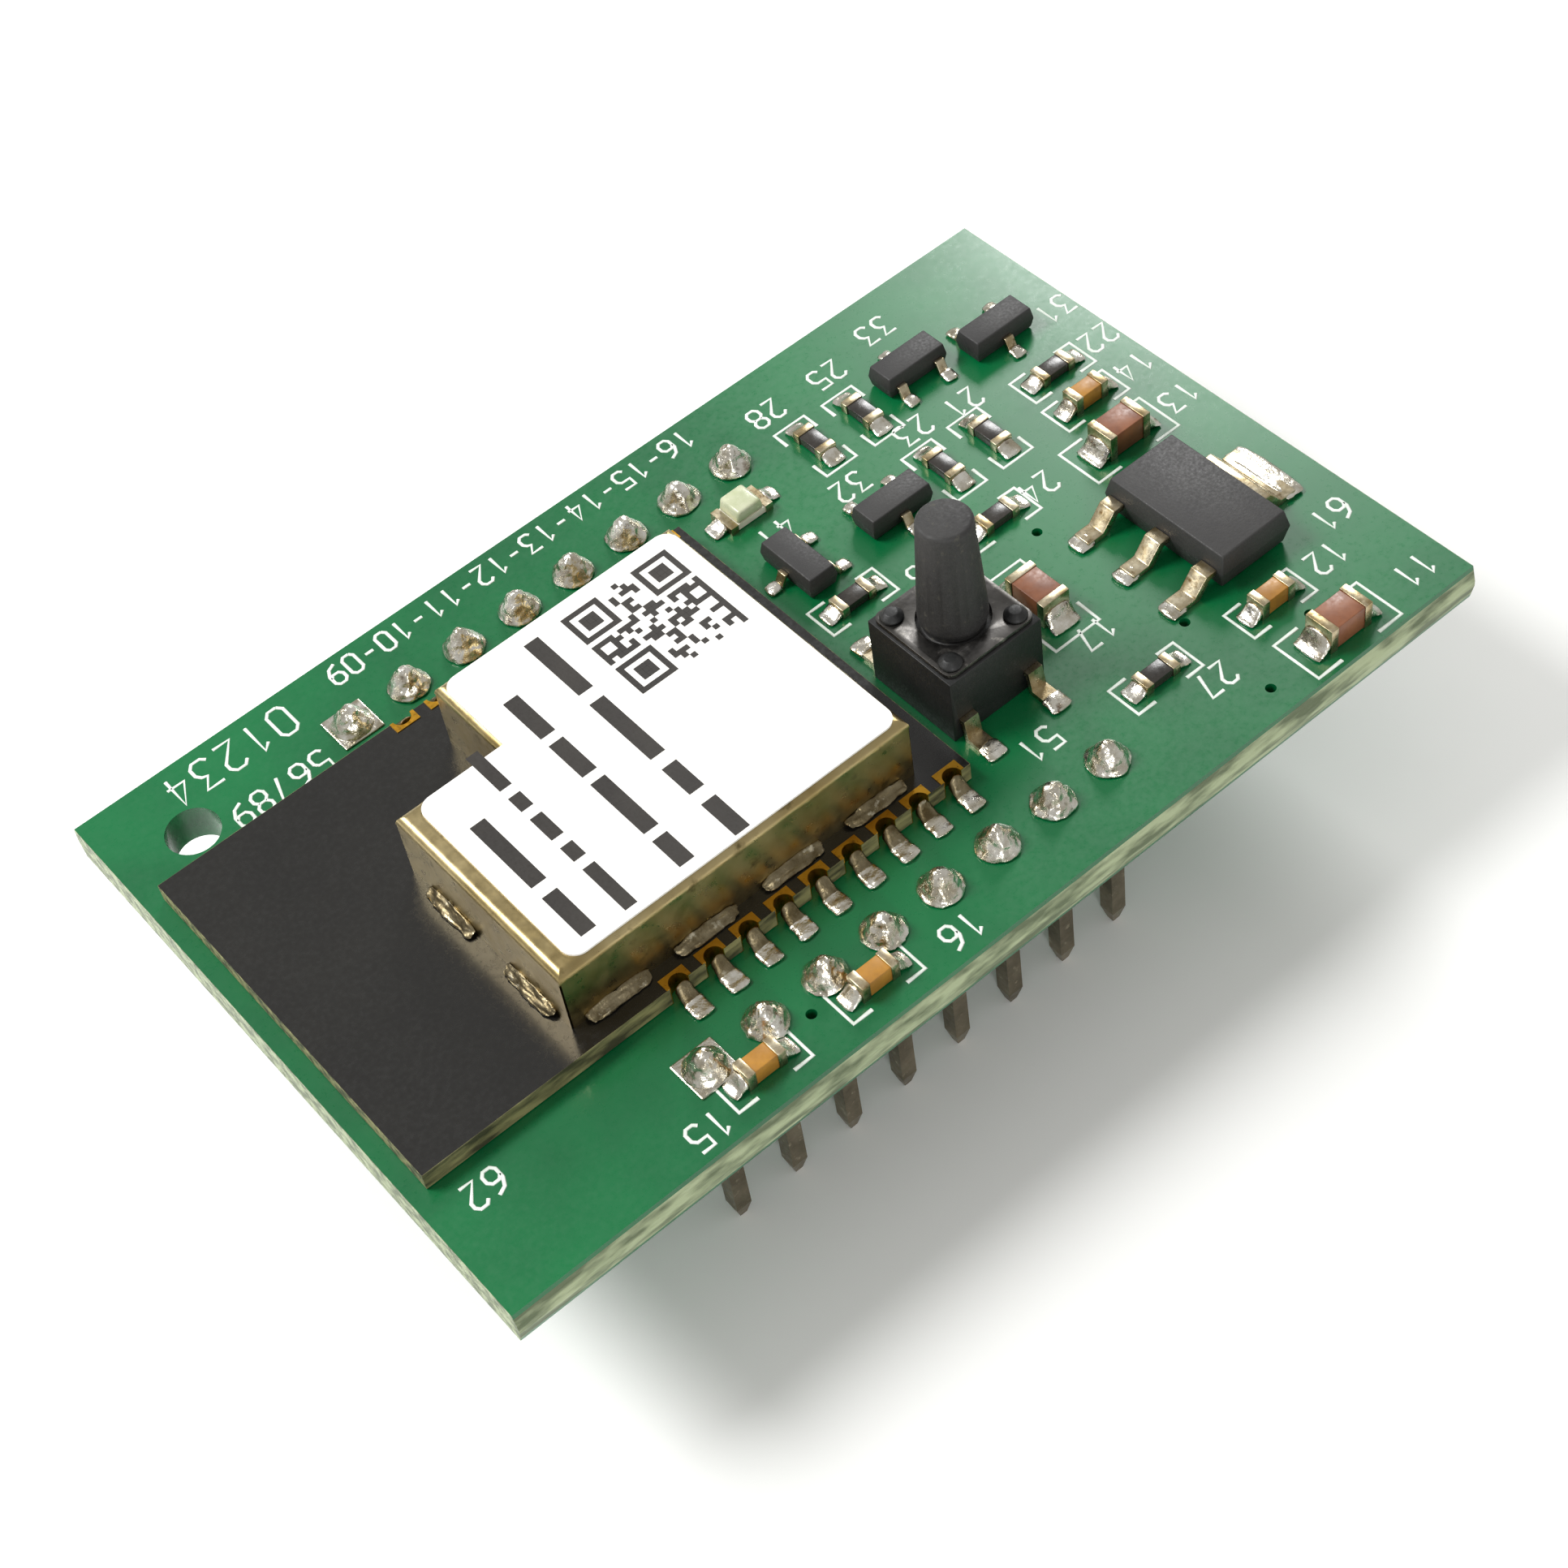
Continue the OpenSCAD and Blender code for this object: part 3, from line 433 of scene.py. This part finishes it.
dress(green_board, "carrier_board")
dress(black_board, "module_board")
dress(gold, "module_castellations")
dress(can_metal, "shield_can")
dress(paper, "can_label")
dress(moulded, "radio_chip", "memory_chip")
dress(crystal_metal, "module_crystal", "switch_dome")
dress(tan_ceramic, "module_passives")
dress(tinned, "switch_terminals", "lamp_ends")
dress(lamp_white, "lamp_base")
dress(strip_plastic, "header_strip_front", "header_strip_back")
dress(pin_metal, "header_pins_front", "header_pins_back")
print("dressed solids")

# %% [markdown]
# Moulded cases, metal ends and the switch have edges that catch the light. A
# copy of the solid is merged into one skin, its flat faces are cleaned of
# spare edges, and a small bevel rounds it. The copy then stands in for the
# solid.

# %% Rounded copies
def rounded_copy(node, name, width, material, body=BOARD, segments=2):
    source = nodes[node]
    made = source.copy()
    made.data = source.data.copy()
    made.parent = None
    made.matrix_world = Matrix.Identity(4)
    for key in list(made.keys()):
        if key.startswith("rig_"):
            del made[key]
    made.name = made.data.name = name
    scene.collection.objects.link(made)
    only(made)
    bpy.ops.object.mode_set(mode="EDIT")
    bpy.ops.mesh.select_all(action="SELECT")
    bpy.ops.mesh.remove_doubles(threshold=1e-6)
    bpy.ops.mesh.dissolve_limited(angle_limit=math.radians(2))
    bpy.ops.object.mode_set(mode="OBJECT")
    apply_modifier(made, "round", "BEVEL", width=width, segments=segments,
                   limit_method="ANGLE", angle_limit=math.radians(35))
    smooth(made)
    return mount(made, material, body, (node,))


CAPACITORS = ["capacitor_%d" % i for i in range(1, 8)]
LARGE_CAPACITORS = ("capacitor_1", "capacitor_3", "capacitor_7")
RESISTORS = ["resistor_%d" % i for i in range(1, 9)]
TRANSISTORS = ["transistor_%d" % i for i in range(1, 5)]
rounded_copy("regulator_body", "regulator_case", 0.06 * MM, moulded)
for name in TRANSISTORS:
    rounded_copy(name, name + "_case", 0.05 * MM, moulded)
for name in CAPACITORS:
    large = name in LARGE_CAPACITORS
    rounded_copy(name, name + "_block", 0.03 * MM,
                 brown_ceramic if large else tan_ceramic)
for name in RESISTORS:
    rounded_copy(name, name + "_block", 0.02 * MM, glaze)
rounded_copy("capacitor_ends", "capacitor_caps", 0.05 * MM, tinned)
rounded_copy("resistor_ends", "resistor_caps", 0.03 * MM, tinned)
rounded_copy("regulator_leads", "regulator_legs", 0.04 * MM, tinned)
rounded_copy("regulator_tab", "regulator_fin", 0.04 * MM, tinned)
rounded_copy("transistor_leads", "transistor_legs", 0.02 * MM, tinned)
rounded_copy("switch_base", "switch_housing", 0.08 * MM, switch_plastic)
rounded_copy("switch_cover", "switch_plate", 0.05 * MM, cover_metal)
rounded_copy("switch_plunger", "switch_button", 0.06 * MM, plunger_plastic,
             body=BUTTON)
rounded_copy("lamp_lens", "lamp_dome", 0.12 * MM, lens_resin, segments=3)

# %% [markdown]
# Solder is never flat: it climbs a metal end, hollows, and runs out on its
# land. One fillet is pulled out of a block face by face, each step lower and a
# little wider, and then softened. Every joint is a copy of such a form, and a
# cloud pattern fixed in space makes no two alike.

# %% Solder forms
clouds = bpy.data.textures.new("solder_clouds", "CLOUDS")
clouds.noise_scale = 0.35 * MM


def fillet(name, width, heights_mm, step, flare=1.0):
    heights = [v * MM for v in heights_mm]
    made = block(name, (-step * 0.3, -width / 2, 0),
                 (step * 0.3, width / 2, heights[0]))
    bpy.ops.object.mode_set(mode="EDIT")
    bpy.ops.mesh.select_all(action="DESELECT")
    bpy.ops.object.mode_set(mode="OBJECT")
    for face in made.data.polygons:
        face.select = face.normal.x > 0.9
    bpy.ops.object.mode_set(mode="EDIT")
    for before, after in zip(heights, heights[1:]):
        bpy.ops.mesh.extrude_region_move(TRANSFORM_OT_translate={
            "value": (step, 0, -(before - after) / 2)})
        bpy.ops.transform.resize(value=(1, flare, after / before))
    bpy.ops.object.mode_set(mode="OBJECT")
    return made


def soften(obj, levels=2, lumps=0.05 * MM):
    apply_modifier(obj, "soft", "SUBSURF", levels=levels, render_levels=levels)
    apply_modifier(obj, "lumps", "DISPLACE", texture=clouds, strength=lumps,
                   mid_level=0.5, texture_coords="LOCAL")
    smooth(obj, 60)


def drop(*forms):
    for form in forms:
        bpy.data.objects.remove(form)


def chip_places(names):
    for name in names:
        low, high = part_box(name)
        middle = (low + high) / 2
        along_x = high.x - low.x > high.y - low.y
        yield name, middle, 0 if along_x else 90, high - low


LARGE_CHIP = 1.8 * MM
JOINT_REACH = 0.05 * MM
small_fillet = fillet("small_fillet", 0.86 * MM, (0.62, 0.42, 0.24, 0.16, 0.13),
                      0.14 * MM)
large_fillet = fillet("large_fillet", 1.36 * MM, (0.85, 0.55, 0.3, 0.18, 0.14),
                      0.15 * MM)
flat_fillet = fillet("flat_fillet", 0.86 * MM, (0.4, 0.26, 0.18, 0.14, 0.12),
                     0.14 * MM)
joints = []
for name, middle, turn, size in chip_places(
        CAPACITORS + RESISTORS + ["lamp_base"]):
    long_side = max(size.x, size.y)
    form = large_fillet if long_side > LARGE_CHIP else small_fillet
    if name in RESISTORS or name == "lamp_base":
        form = flat_fillet
    for side in (0, 180):
        angle = math.radians(turn + side)
        reach = long_side / 2 + JOINT_REACH
        joints.append(copy_at(
            form, "joint", middle.x + reach * math.cos(angle),
            middle.y + reach * math.sin(angle), BOARD_TOP, turn + side))
chip_joints = joined("chip_joints", joints)
soften(chip_joints, 2, 0.06 * MM)
mount(chip_joints, solder, instead_of=("chip_solder",))
drop(small_fillet, large_fillet, flat_fillet)
print("chip joints:", len(joints), "faces:", len(chip_joints.data.polygons))

# %% [markdown]
# The joints of the pin rows are hand soldered cones. A ring of the pad's size
# is pulled up in steps, each smaller than the last, as solder draws up a pin.
# The first pin of each row stands on a square pad.

# %% Cones over the pins
PINS = 8
PIN_SIDE = 0.64 * MM
CONE_RADIUS, PAD_HALF, PAD_HEIGHT = 0.87 * MM, 0.86 * MM, 0.09 * MM


def pin_centres(node):
    low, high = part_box(node)
    first = low.x + PIN_SIDE / 2
    pitch = (high.x - low.x - PIN_SIDE) / (PINS - 1)
    return [(first + i * pitch, (low.y + high.y) / 2) for i in range(PINS)]


def cone(name, corners):
    only()
    bpy.ops.mesh.primitive_circle_add(vertices=corners, radius=CONE_RADIUS,
                                      fill_type="NGON")
    made = bpy.context.object
    made.name = name
    bpy.ops.object.mode_set(mode="EDIT")
    bpy.ops.mesh.select_all(action="SELECT")
    steps = [(0.10, 0.97), (0.14, 0.84), (0.20, 0.80), (0.24, 0.74),
             (0.22, 0.62), (0.12, 0.45)]
    for rise, ratio in steps:
        bpy.ops.mesh.extrude_region_move(TRANSFORM_OT_translate={
            "value": (0, 0, rise * MM)})
        bpy.ops.transform.resize(value=(ratio, ratio, 1))
    bpy.ops.object.mode_set(mode="OBJECT")
    return made


cone_form = cone("cone_form", 16)
pad_form = block("pad_form", (-PAD_HALF, -PAD_HALF, 0),
                 (PAD_HALF, PAD_HALF, PAD_HEIGHT))
cones = []
for row in ("front", "back"):
    places = pin_centres("header_pins_" + row)
    made = [copy_at(cone_form, "cone", x, y, BOARD_TOP, 40 * i)
            for i, (x, y) in enumerate(places)]
    pin_joints = joined("pin_joints_" + row, made)
    soften(pin_joints, 2, 0.16 * MM)
    pad = copy_at(pad_form, "pad", places[0][0], places[0][1], BOARD_TOP)
    apply_modifier(pad, "round", "BEVEL", width=0.05 * MM, segments=2)
    pin_joints = joined("pin_joints_" + row, [pin_joints, pad])
    mount(pin_joints, solder, instead_of=("header_solder_" + row,))
    cones.append(pin_joints)
drop(cone_form, pad_form)
print("pin joints:", [len(o.data.polygons) for o in cones], "faces")

# %% [markdown]
# Along the module's edge, solder rises from each land into a gold half hole:
# a dark neck that fills the hole, and on the front row a bright flat foot. The
# neck's darker solder is painted shade of the half hole and the module's front.

# %% Feet in the half holes
CASTLES, CASTLE_PITCH, CASTLE_HALF = 9, 1.5 * MM, 0.62 * MM
NECK_INSET, FOOT_REACH = 0.05 * MM, 0.4 * MM
castle_low, castle_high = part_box("module_castellations")
castle_first = castle_low.x + CASTLE_HALF
neck_form = fillet("neck_form", 0.66 * MM, (0.78, 0.6, 0.42, 0.28, 0.2),
                   0.13 * MM, flare=1.05)
foot_form = fillet("foot_form", 0.84 * MM, (0.24, 0.2, 0.22, 0.2, 0.18),
                   0.19 * MM)
necks, feet = [], []
for i in range(CASTLES):
    x = castle_first + i * CASTLE_PITCH
    necks.append(copy_at(neck_form, "neck", x, castle_low.y + NECK_INSET,
                         BOARD_TOP, -90))
    feet.append(copy_at(foot_form, "foot", x, castle_low.y - FOOT_REACH,
                        BOARD_TOP, -90))
    necks.append(copy_at(neck_form, "neck", x, castle_high.y - NECK_INSET,
                         BOARD_TOP, 90))
castle_necks = joined("castellation_necks", necks)
soften(castle_necks, 2, 0.08 * MM)
# The necks' darker solder is painted shade.
mount(castle_necks, painted_shade_solder, instead_of=("castellation_solder",))
castle_feet = joined("castellation_feet", feet)
soften(castle_feet, 2, 0.12 * MM)
mount(castle_feet, solder)
drop(neck_form, foot_form)
print("feet:", len(feet), "necks:", len(necks))

# %% [markdown]
# Leads and the switch's legs stand in small puddles, the cooling tab in a wide
# one. Their places come from the boxes of the cases and leads, and a transistor
# turns its three puddles with it.

# %% Puddles under leads
LEG_PITCH = 2.3 * MM
LEG_INSET, TAB_INSET = 0.3 * MM, 0.5 * MM
SWITCH_LEG_HALF, SWITCH_INSET = 0.33 * MM, 0.35 * MM
TOE_OUT, TOE_SIDE = 1.05 * MM, 0.95 * MM
puddle = fillet("puddle", 0.62 * MM, (0.26, 0.24, 0.2, 0.14), 0.16 * MM)
wide_puddle = fillet("wide_puddle", 0.95 * MM, (0.3, 0.26, 0.22, 0.16),
                     0.22 * MM)
tab_puddle = fillet("tab_puddle", 3.5 * MM, (0.34, 0.3, 0.26, 0.2), 0.3 * MM)
reg_low, reg_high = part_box("regulator_body")
legs_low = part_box("regulator_leads")[0]
tab_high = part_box("regulator_tab")[1]
switch_low, switch_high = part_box("switch_terminals")
puddles = []
reg_mid = (reg_low.y + reg_high.y) / 2
for k in (-1, 0, 1):
    puddles.append(copy_at(wide_puddle, "puddle", legs_low.x + LEG_INSET,
                           reg_mid + k * LEG_PITCH, BOARD_TOP, 180))
puddles.append(copy_at(tab_puddle, "puddle", tab_high.x - TAB_INSET, reg_mid,
                       BOARD_TOP, 0))
for x in (switch_low.x + SWITCH_LEG_HALF, switch_high.x - SWITCH_LEG_HALF):
    puddles.append(copy_at(wide_puddle, "puddle", x, switch_low.y + SWITCH_INSET,
                           BOARD_TOP, -90))
    puddles.append(copy_at(wide_puddle, "puddle", x, switch_high.y - SWITCH_INSET,
                           BOARD_TOP, 90))
for name, turn in zip(TRANSISTORS, (0, 0, 180, 270)):
    low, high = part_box(name)
    middle = (low + high) / 2
    spin = Matrix.Rotation(math.radians(turn), 4, "Z")
    for along, out, side in ((0, -1, -90), (-1, 1, 90), (1, 1, 90)):
        reach = spin @ Vector((along * TOE_SIDE, out * TOE_OUT, 0))
        puddles.append(copy_at(puddle, "puddle", middle.x + reach.x,
                               middle.y + reach.y, BOARD_TOP, turn + side))
lead_puddles = joined("lead_puddles", puddles)
soften(lead_puddles, 2, 0.1 * MM)
mount(lead_puddles, solder, instead_of=("lead_solder",))
drop(puddle, wide_puddle, tab_puddle)
print("puddles:", len(puddles))

# %% [markdown]
# The can's foot is held by lumps of solder on the module: four along its front
# and two on its left wall. They are cut finer than the other joints, so that
# the cloud pattern can make them ragged. Their darker solder is painted shade
# at the can's foot.

# %% Seams at the can's foot
FRONT_SEAMS = 4
SEAM_SHARE = 0.86
LEFT_SEAM_PLACES = (-4.6 * MM, -0.2 * MM)
strip = (can_high.x - can_low.x) / FRONT_SEAMS
seam_form = fillet("seam_form", strip * SEAM_SHARE, (0.5, 0.34, 0.2, 0.1),
                   0.13 * MM, flare=0.97)
seams = [copy_at(seam_form, "seam", can_low.x + (i + 0.5) * strip, can_low.y,
                 MODULE_TOP, -90) for i in range(FRONT_SEAMS)]
seams += [copy_at(seam_form, "seam", can_low.x, y, MODULE_TOP, 180)
          for y in LEFT_SEAM_PLACES]
can_seams = joined("can_seams", seams)
apply_modifier(can_seams, "cuts", "SUBSURF", levels=1, render_levels=1)
soften(can_seams, 2, 0.25 * MM)
# The seams' darker solder is painted shade.
mount(can_seams, painted_shade_solder, instead_of=("can_solder",))
drop(seam_form)
print("seams:", len(seams))

# %% [markdown]
# Screen printing is a thin bead of white ink. Each line is a curve with a round
# section, turned into a mesh and pressed flat, so that it has the soft edge of
# real ink. Numbers are drawn as strokes, as board printing is.

# %% Ink lines and stroke numbers
def ink_lines(name, strokes, width, level, height=0.02 * MM):
    curve = bpy.data.curves.new(name, "CURVE")
    curve.dimensions = "3D"
    curve.twist_mode = "Z_UP"
    curve.bevel_depth = width / 2
    curve.bevel_resolution = 1
    curve.use_fill_caps = True
    for stroke in strokes:
        spline = curve.splines.new("POLY")
        spline.points.add(len(stroke) - 1)
        for point, (x, y) in zip(spline.points, stroke):
            point.co = (x, y, 0, 1)
    made = bpy.data.objects.new(name, curve)
    scene.collection.objects.link(made)
    only(made)
    bpy.ops.object.convert(target="MESH")
    made = bpy.context.object
    flat = Matrix.Diagonal((1, 1, 2 * height / width, 1))
    made.data.transform(Matrix.Translation((0, 0, level)) @ flat)
    return made


DIGITS = {
    "0": [[(.5, 0), (0, .6), (0, 3.4), (.5, 4), (1.5, 4), (2, 3.4), (2, .6),
           (1.5, 0), (.5, 0)]],
    "1": [[(.4, 3.2), (1.2, 4), (1.2, 0)]],
    "2": [[(0, 3.4), (.5, 4), (1.5, 4), (2, 3.4), (2, 2.6), (0, 0), (2, 0)]],
    "3": [[(0, 4), (2, 4), (1, 2.4), (1.6, 2.2), (2, 1.6), (2, .6), (1.5, 0),
           (.5, 0), (0, .5)]],
    "4": [[(1.5, 0), (1.5, 4), (0, 1.2), (2, 1.2)]],
    "5": [[(2, 4), (0, 4), (0, 2.4), (1.5, 2.4), (2, 1.8), (2, .6), (1.5, 0),
           (.5, 0), (0, .5)]],
    "6": [[(1.8, 4), (.6, 3.4), (0, 2.2), (0, .6), (.5, 0), (1.5, 0), (2, .6),
           (2, 1.6), (1.5, 2.2), (.5, 2.2), (0, 1.6)]],
    "7": [[(0, 4), (2, 4), (.7, 0)]],
    "8": [[(.5, 2.1), (0, 2.7), (0, 3.4), (.5, 4), (1.5, 4), (2, 3.4), (2, 2.7),
           (1.5, 2.1), (.5, 2.1), (0, 1.5), (0, .6), (.5, 0), (1.5, 0), (2, .6),
           (2, 1.5), (1.5, 2.1)]],
    "9": [[(.2, 0), (1.4, .6), (2, 1.8), (2, 3.4), (1.5, 4), (.5, 4), (0, 3.4),
           (0, 2.4), (.5, 1.8), (1.5, 1.8), (2, 2.4)]],
    "-": [[(.3, 2), (1.7, 2)]],
    " ": [],
}


def number_strokes(text, x, y, tall, turn, spread=1.55):
    """Strokes of a number whose middle is at x, y, read along turn."""
    unit = tall / 4
    advance = 2 * spread * unit
    start = -(advance * (len(text) - 1) + 2 * unit) / 2
    spin = Matrix.Rotation(math.radians(turn), 2)
    result = []
    for i, sign in enumerate(text):
        for stroke in DIGITS[sign]:
            points = []
            for u, v in stroke:
                at = spin @ Vector((start + i * advance + u * unit,
                                    (v - 2) * unit))
                points.append((x + at.x, y + at.y))
            result.append(points)
    return result


print("numbers:", "".join(sorted(DIGITS)))

# %% [markdown]
# Each chip part is framed by two brackets of ink, open along its sides. They
# are drawn from the part's own place and size. Plain numbers stand beside.

# %% Brackets and numbers on the carrier board
def bracket_strokes(middle, turn, half_l, half_w, arm):
    spin = Matrix.Rotation(math.radians(turn), 2)
    result = []
    for side in (1, -1):
        corners = [(half_l - arm, half_w), (half_l, half_w),
                   (half_l, -half_w), (half_l - arm, -half_w)]
        stroke = []
        for u, v in corners:
            at = spin @ Vector((u * side, v))
            stroke.append((middle.x + at.x, middle.y + at.y))
        result.append(stroke)
    return result


brackets = []
for name, middle, turn, size in chip_places(CAPACITORS + RESISTORS):
    if max(size.x, size.y) > LARGE_CHIP:
        spans = (2.05 * MM, 1.05 * MM, 1.15 * MM)
    else:
        spans = (1.55 * MM, 0.74 * MM, 0.8 * MM)
    brackets += bracket_strokes(middle, turn, *spans)
ink = ink_lines("bracket_ink", brackets, 0.17 * MM, BOARD_TOP)
mount(ink, white_ink)

NUMBERS = [("15", -12.8, -12.3), ("16", -1.9, -12.2), ("17", 10.1, -6.0),
           ("27", 11.5, -10.5), ("51", 5.3, -8.3), ("31", 20.6, 7.1),
           ("22", 20.6, 4.7), ("14", 20.4, 2.6), ("13", 20.4, 0.2),
           ("61", 19.9, -8.0), ("12", 18.2, -9.3), ("11", 19.9, -11.9),
           ("33", 15.0, 11.4), ("25", 12.1, 10.9), ("28", 9.1, 11.0),
           ("23", 12.4, 6.2), ("21", 14.7, 5.9), ("32", 8.8, 5.7),
           ("41", 5.4, 5.9), ("26", 8.0, 0.5), ("24", 13.6, 0.6),
           ("62", -19.3, -9.0)]
signs = []
for text, x, y in NUMBERS:
    signs += number_strokes(text, x * MM, y * MM, 1.05 * MM, 180)
signs += number_strokes("16-15-14-13-12-11-10-09", -2.2 * MM, 12.3 * MM,
                        1.0 * MM, 180, 1.5)
signs += number_strokes("01234", -15.4 * MM, 11.9 * MM, 1.45 * MM, 180)
signs += number_strokes("56789", -14.9 * MM, 9.3 * MM, 1.1 * MM, 180)
ink = ink_lines("number_ink", signs, 0.15 * MM, BOARD_TOP)
mount(ink, white_ink)
print("brackets:", len(brackets), "number strokes:", len(signs))

# %% [markdown]
# The print on the can's label is left as plain bars that stand for words, and
# a square block of little cells that means nothing: its cells follow a sum,
# not a code.

# %% Print on the label
INK_LOW, INK_HIGH = LABEL_TOP - 0.01 * MM, LABEL_TOP + 0.012 * MM
WORD_GAP = 0.6
LINES = [(-12.0, -6.0, 0.1, 0.62, (2.2, 3.6)),
         (-10.4, -6.2, 2.6, 0.5, (3, 1, 1.6, 1, 2.6)),
         (-8.0, -6.1, 3.6, 0.62, (2, 4, 2.6, 3)),
         (-5.9, -6.4, 5.2, 0.62, (1.8, 1.5, 3.4, 3.2))]
CELLS = 21
CELLS_LOW, CELLS_SIDE = Vector((-4.6 * MM, 0.5 * MM)), 4.7 * MM
CELL_FILL = 0.98
FINDER = 7
FINDERS = ((0, 0), (0, CELLS - FINDER), (CELLS - FINDER, CELLS - FINDER))


def word_bars(x, y0, y1, tall, words):
    """Corners of the bars that stand for one line of words."""
    total = sum(words) + WORD_GAP * (len(words) - 1)
    unit = (y1 - y0) / total
    cells, y = [], y0
    for word in words:
        cells.append((x - tall / 2, y, x + tall / 2, y + word * unit))
        y += (word + WORD_GAP) * unit
    return cells


def is_dark(i, j):
    """Rings in three corners, and a plain sum everywhere else."""
    for a, b in FINDERS:
        u, v = i - a, j - b
        if -1 <= u <= FINDER and -1 <= v <= FINDER:
            return max(abs(u - 3), abs(v - 3)) in (0, 1, 3)
    return (i * i * 7 + j * j * 5 + i * j * 3 + (i * j) // 4) % 5 < 2


printed = []
for x, y0, y1, tall, words in LINES:
    printed += word_bars(x * MM, y0 * MM, y1 * MM, tall * MM, words)
cell = CELLS_SIDE / CELLS
for i in range(CELLS):
    for j in range(CELLS):
        if is_dark(i, j):
            x, y = CELLS_LOW.x + i * cell, CELLS_LOW.y + j * cell
            printed.append((x, y, x + cell * CELL_FILL, y + cell * CELL_FILL))
label_print = joined("label_print", [
    block("bar", (x0, y0, INK_LOW), (x1, y1, INK_HIGH))
    for x0, y0, x1, y1 in printed])
mount(label_print, black_ink)
print("printed cells:", len(printed))

# %% [markdown]
# The floor is a wide pale sheet under the pin tips.

# %% Floor
FLOOR_GAP = 0.02 * MM
only()
bpy.ops.mesh.primitive_plane_add(size=3, location=(0, 0, -FLOOR_GAP))
floor = bpy.context.object
floor.name = "floor"
settle(floor)
floor.data.materials.append(floor_white)
print("floor at %.2f mm" % (-FLOOR_GAP / MM))
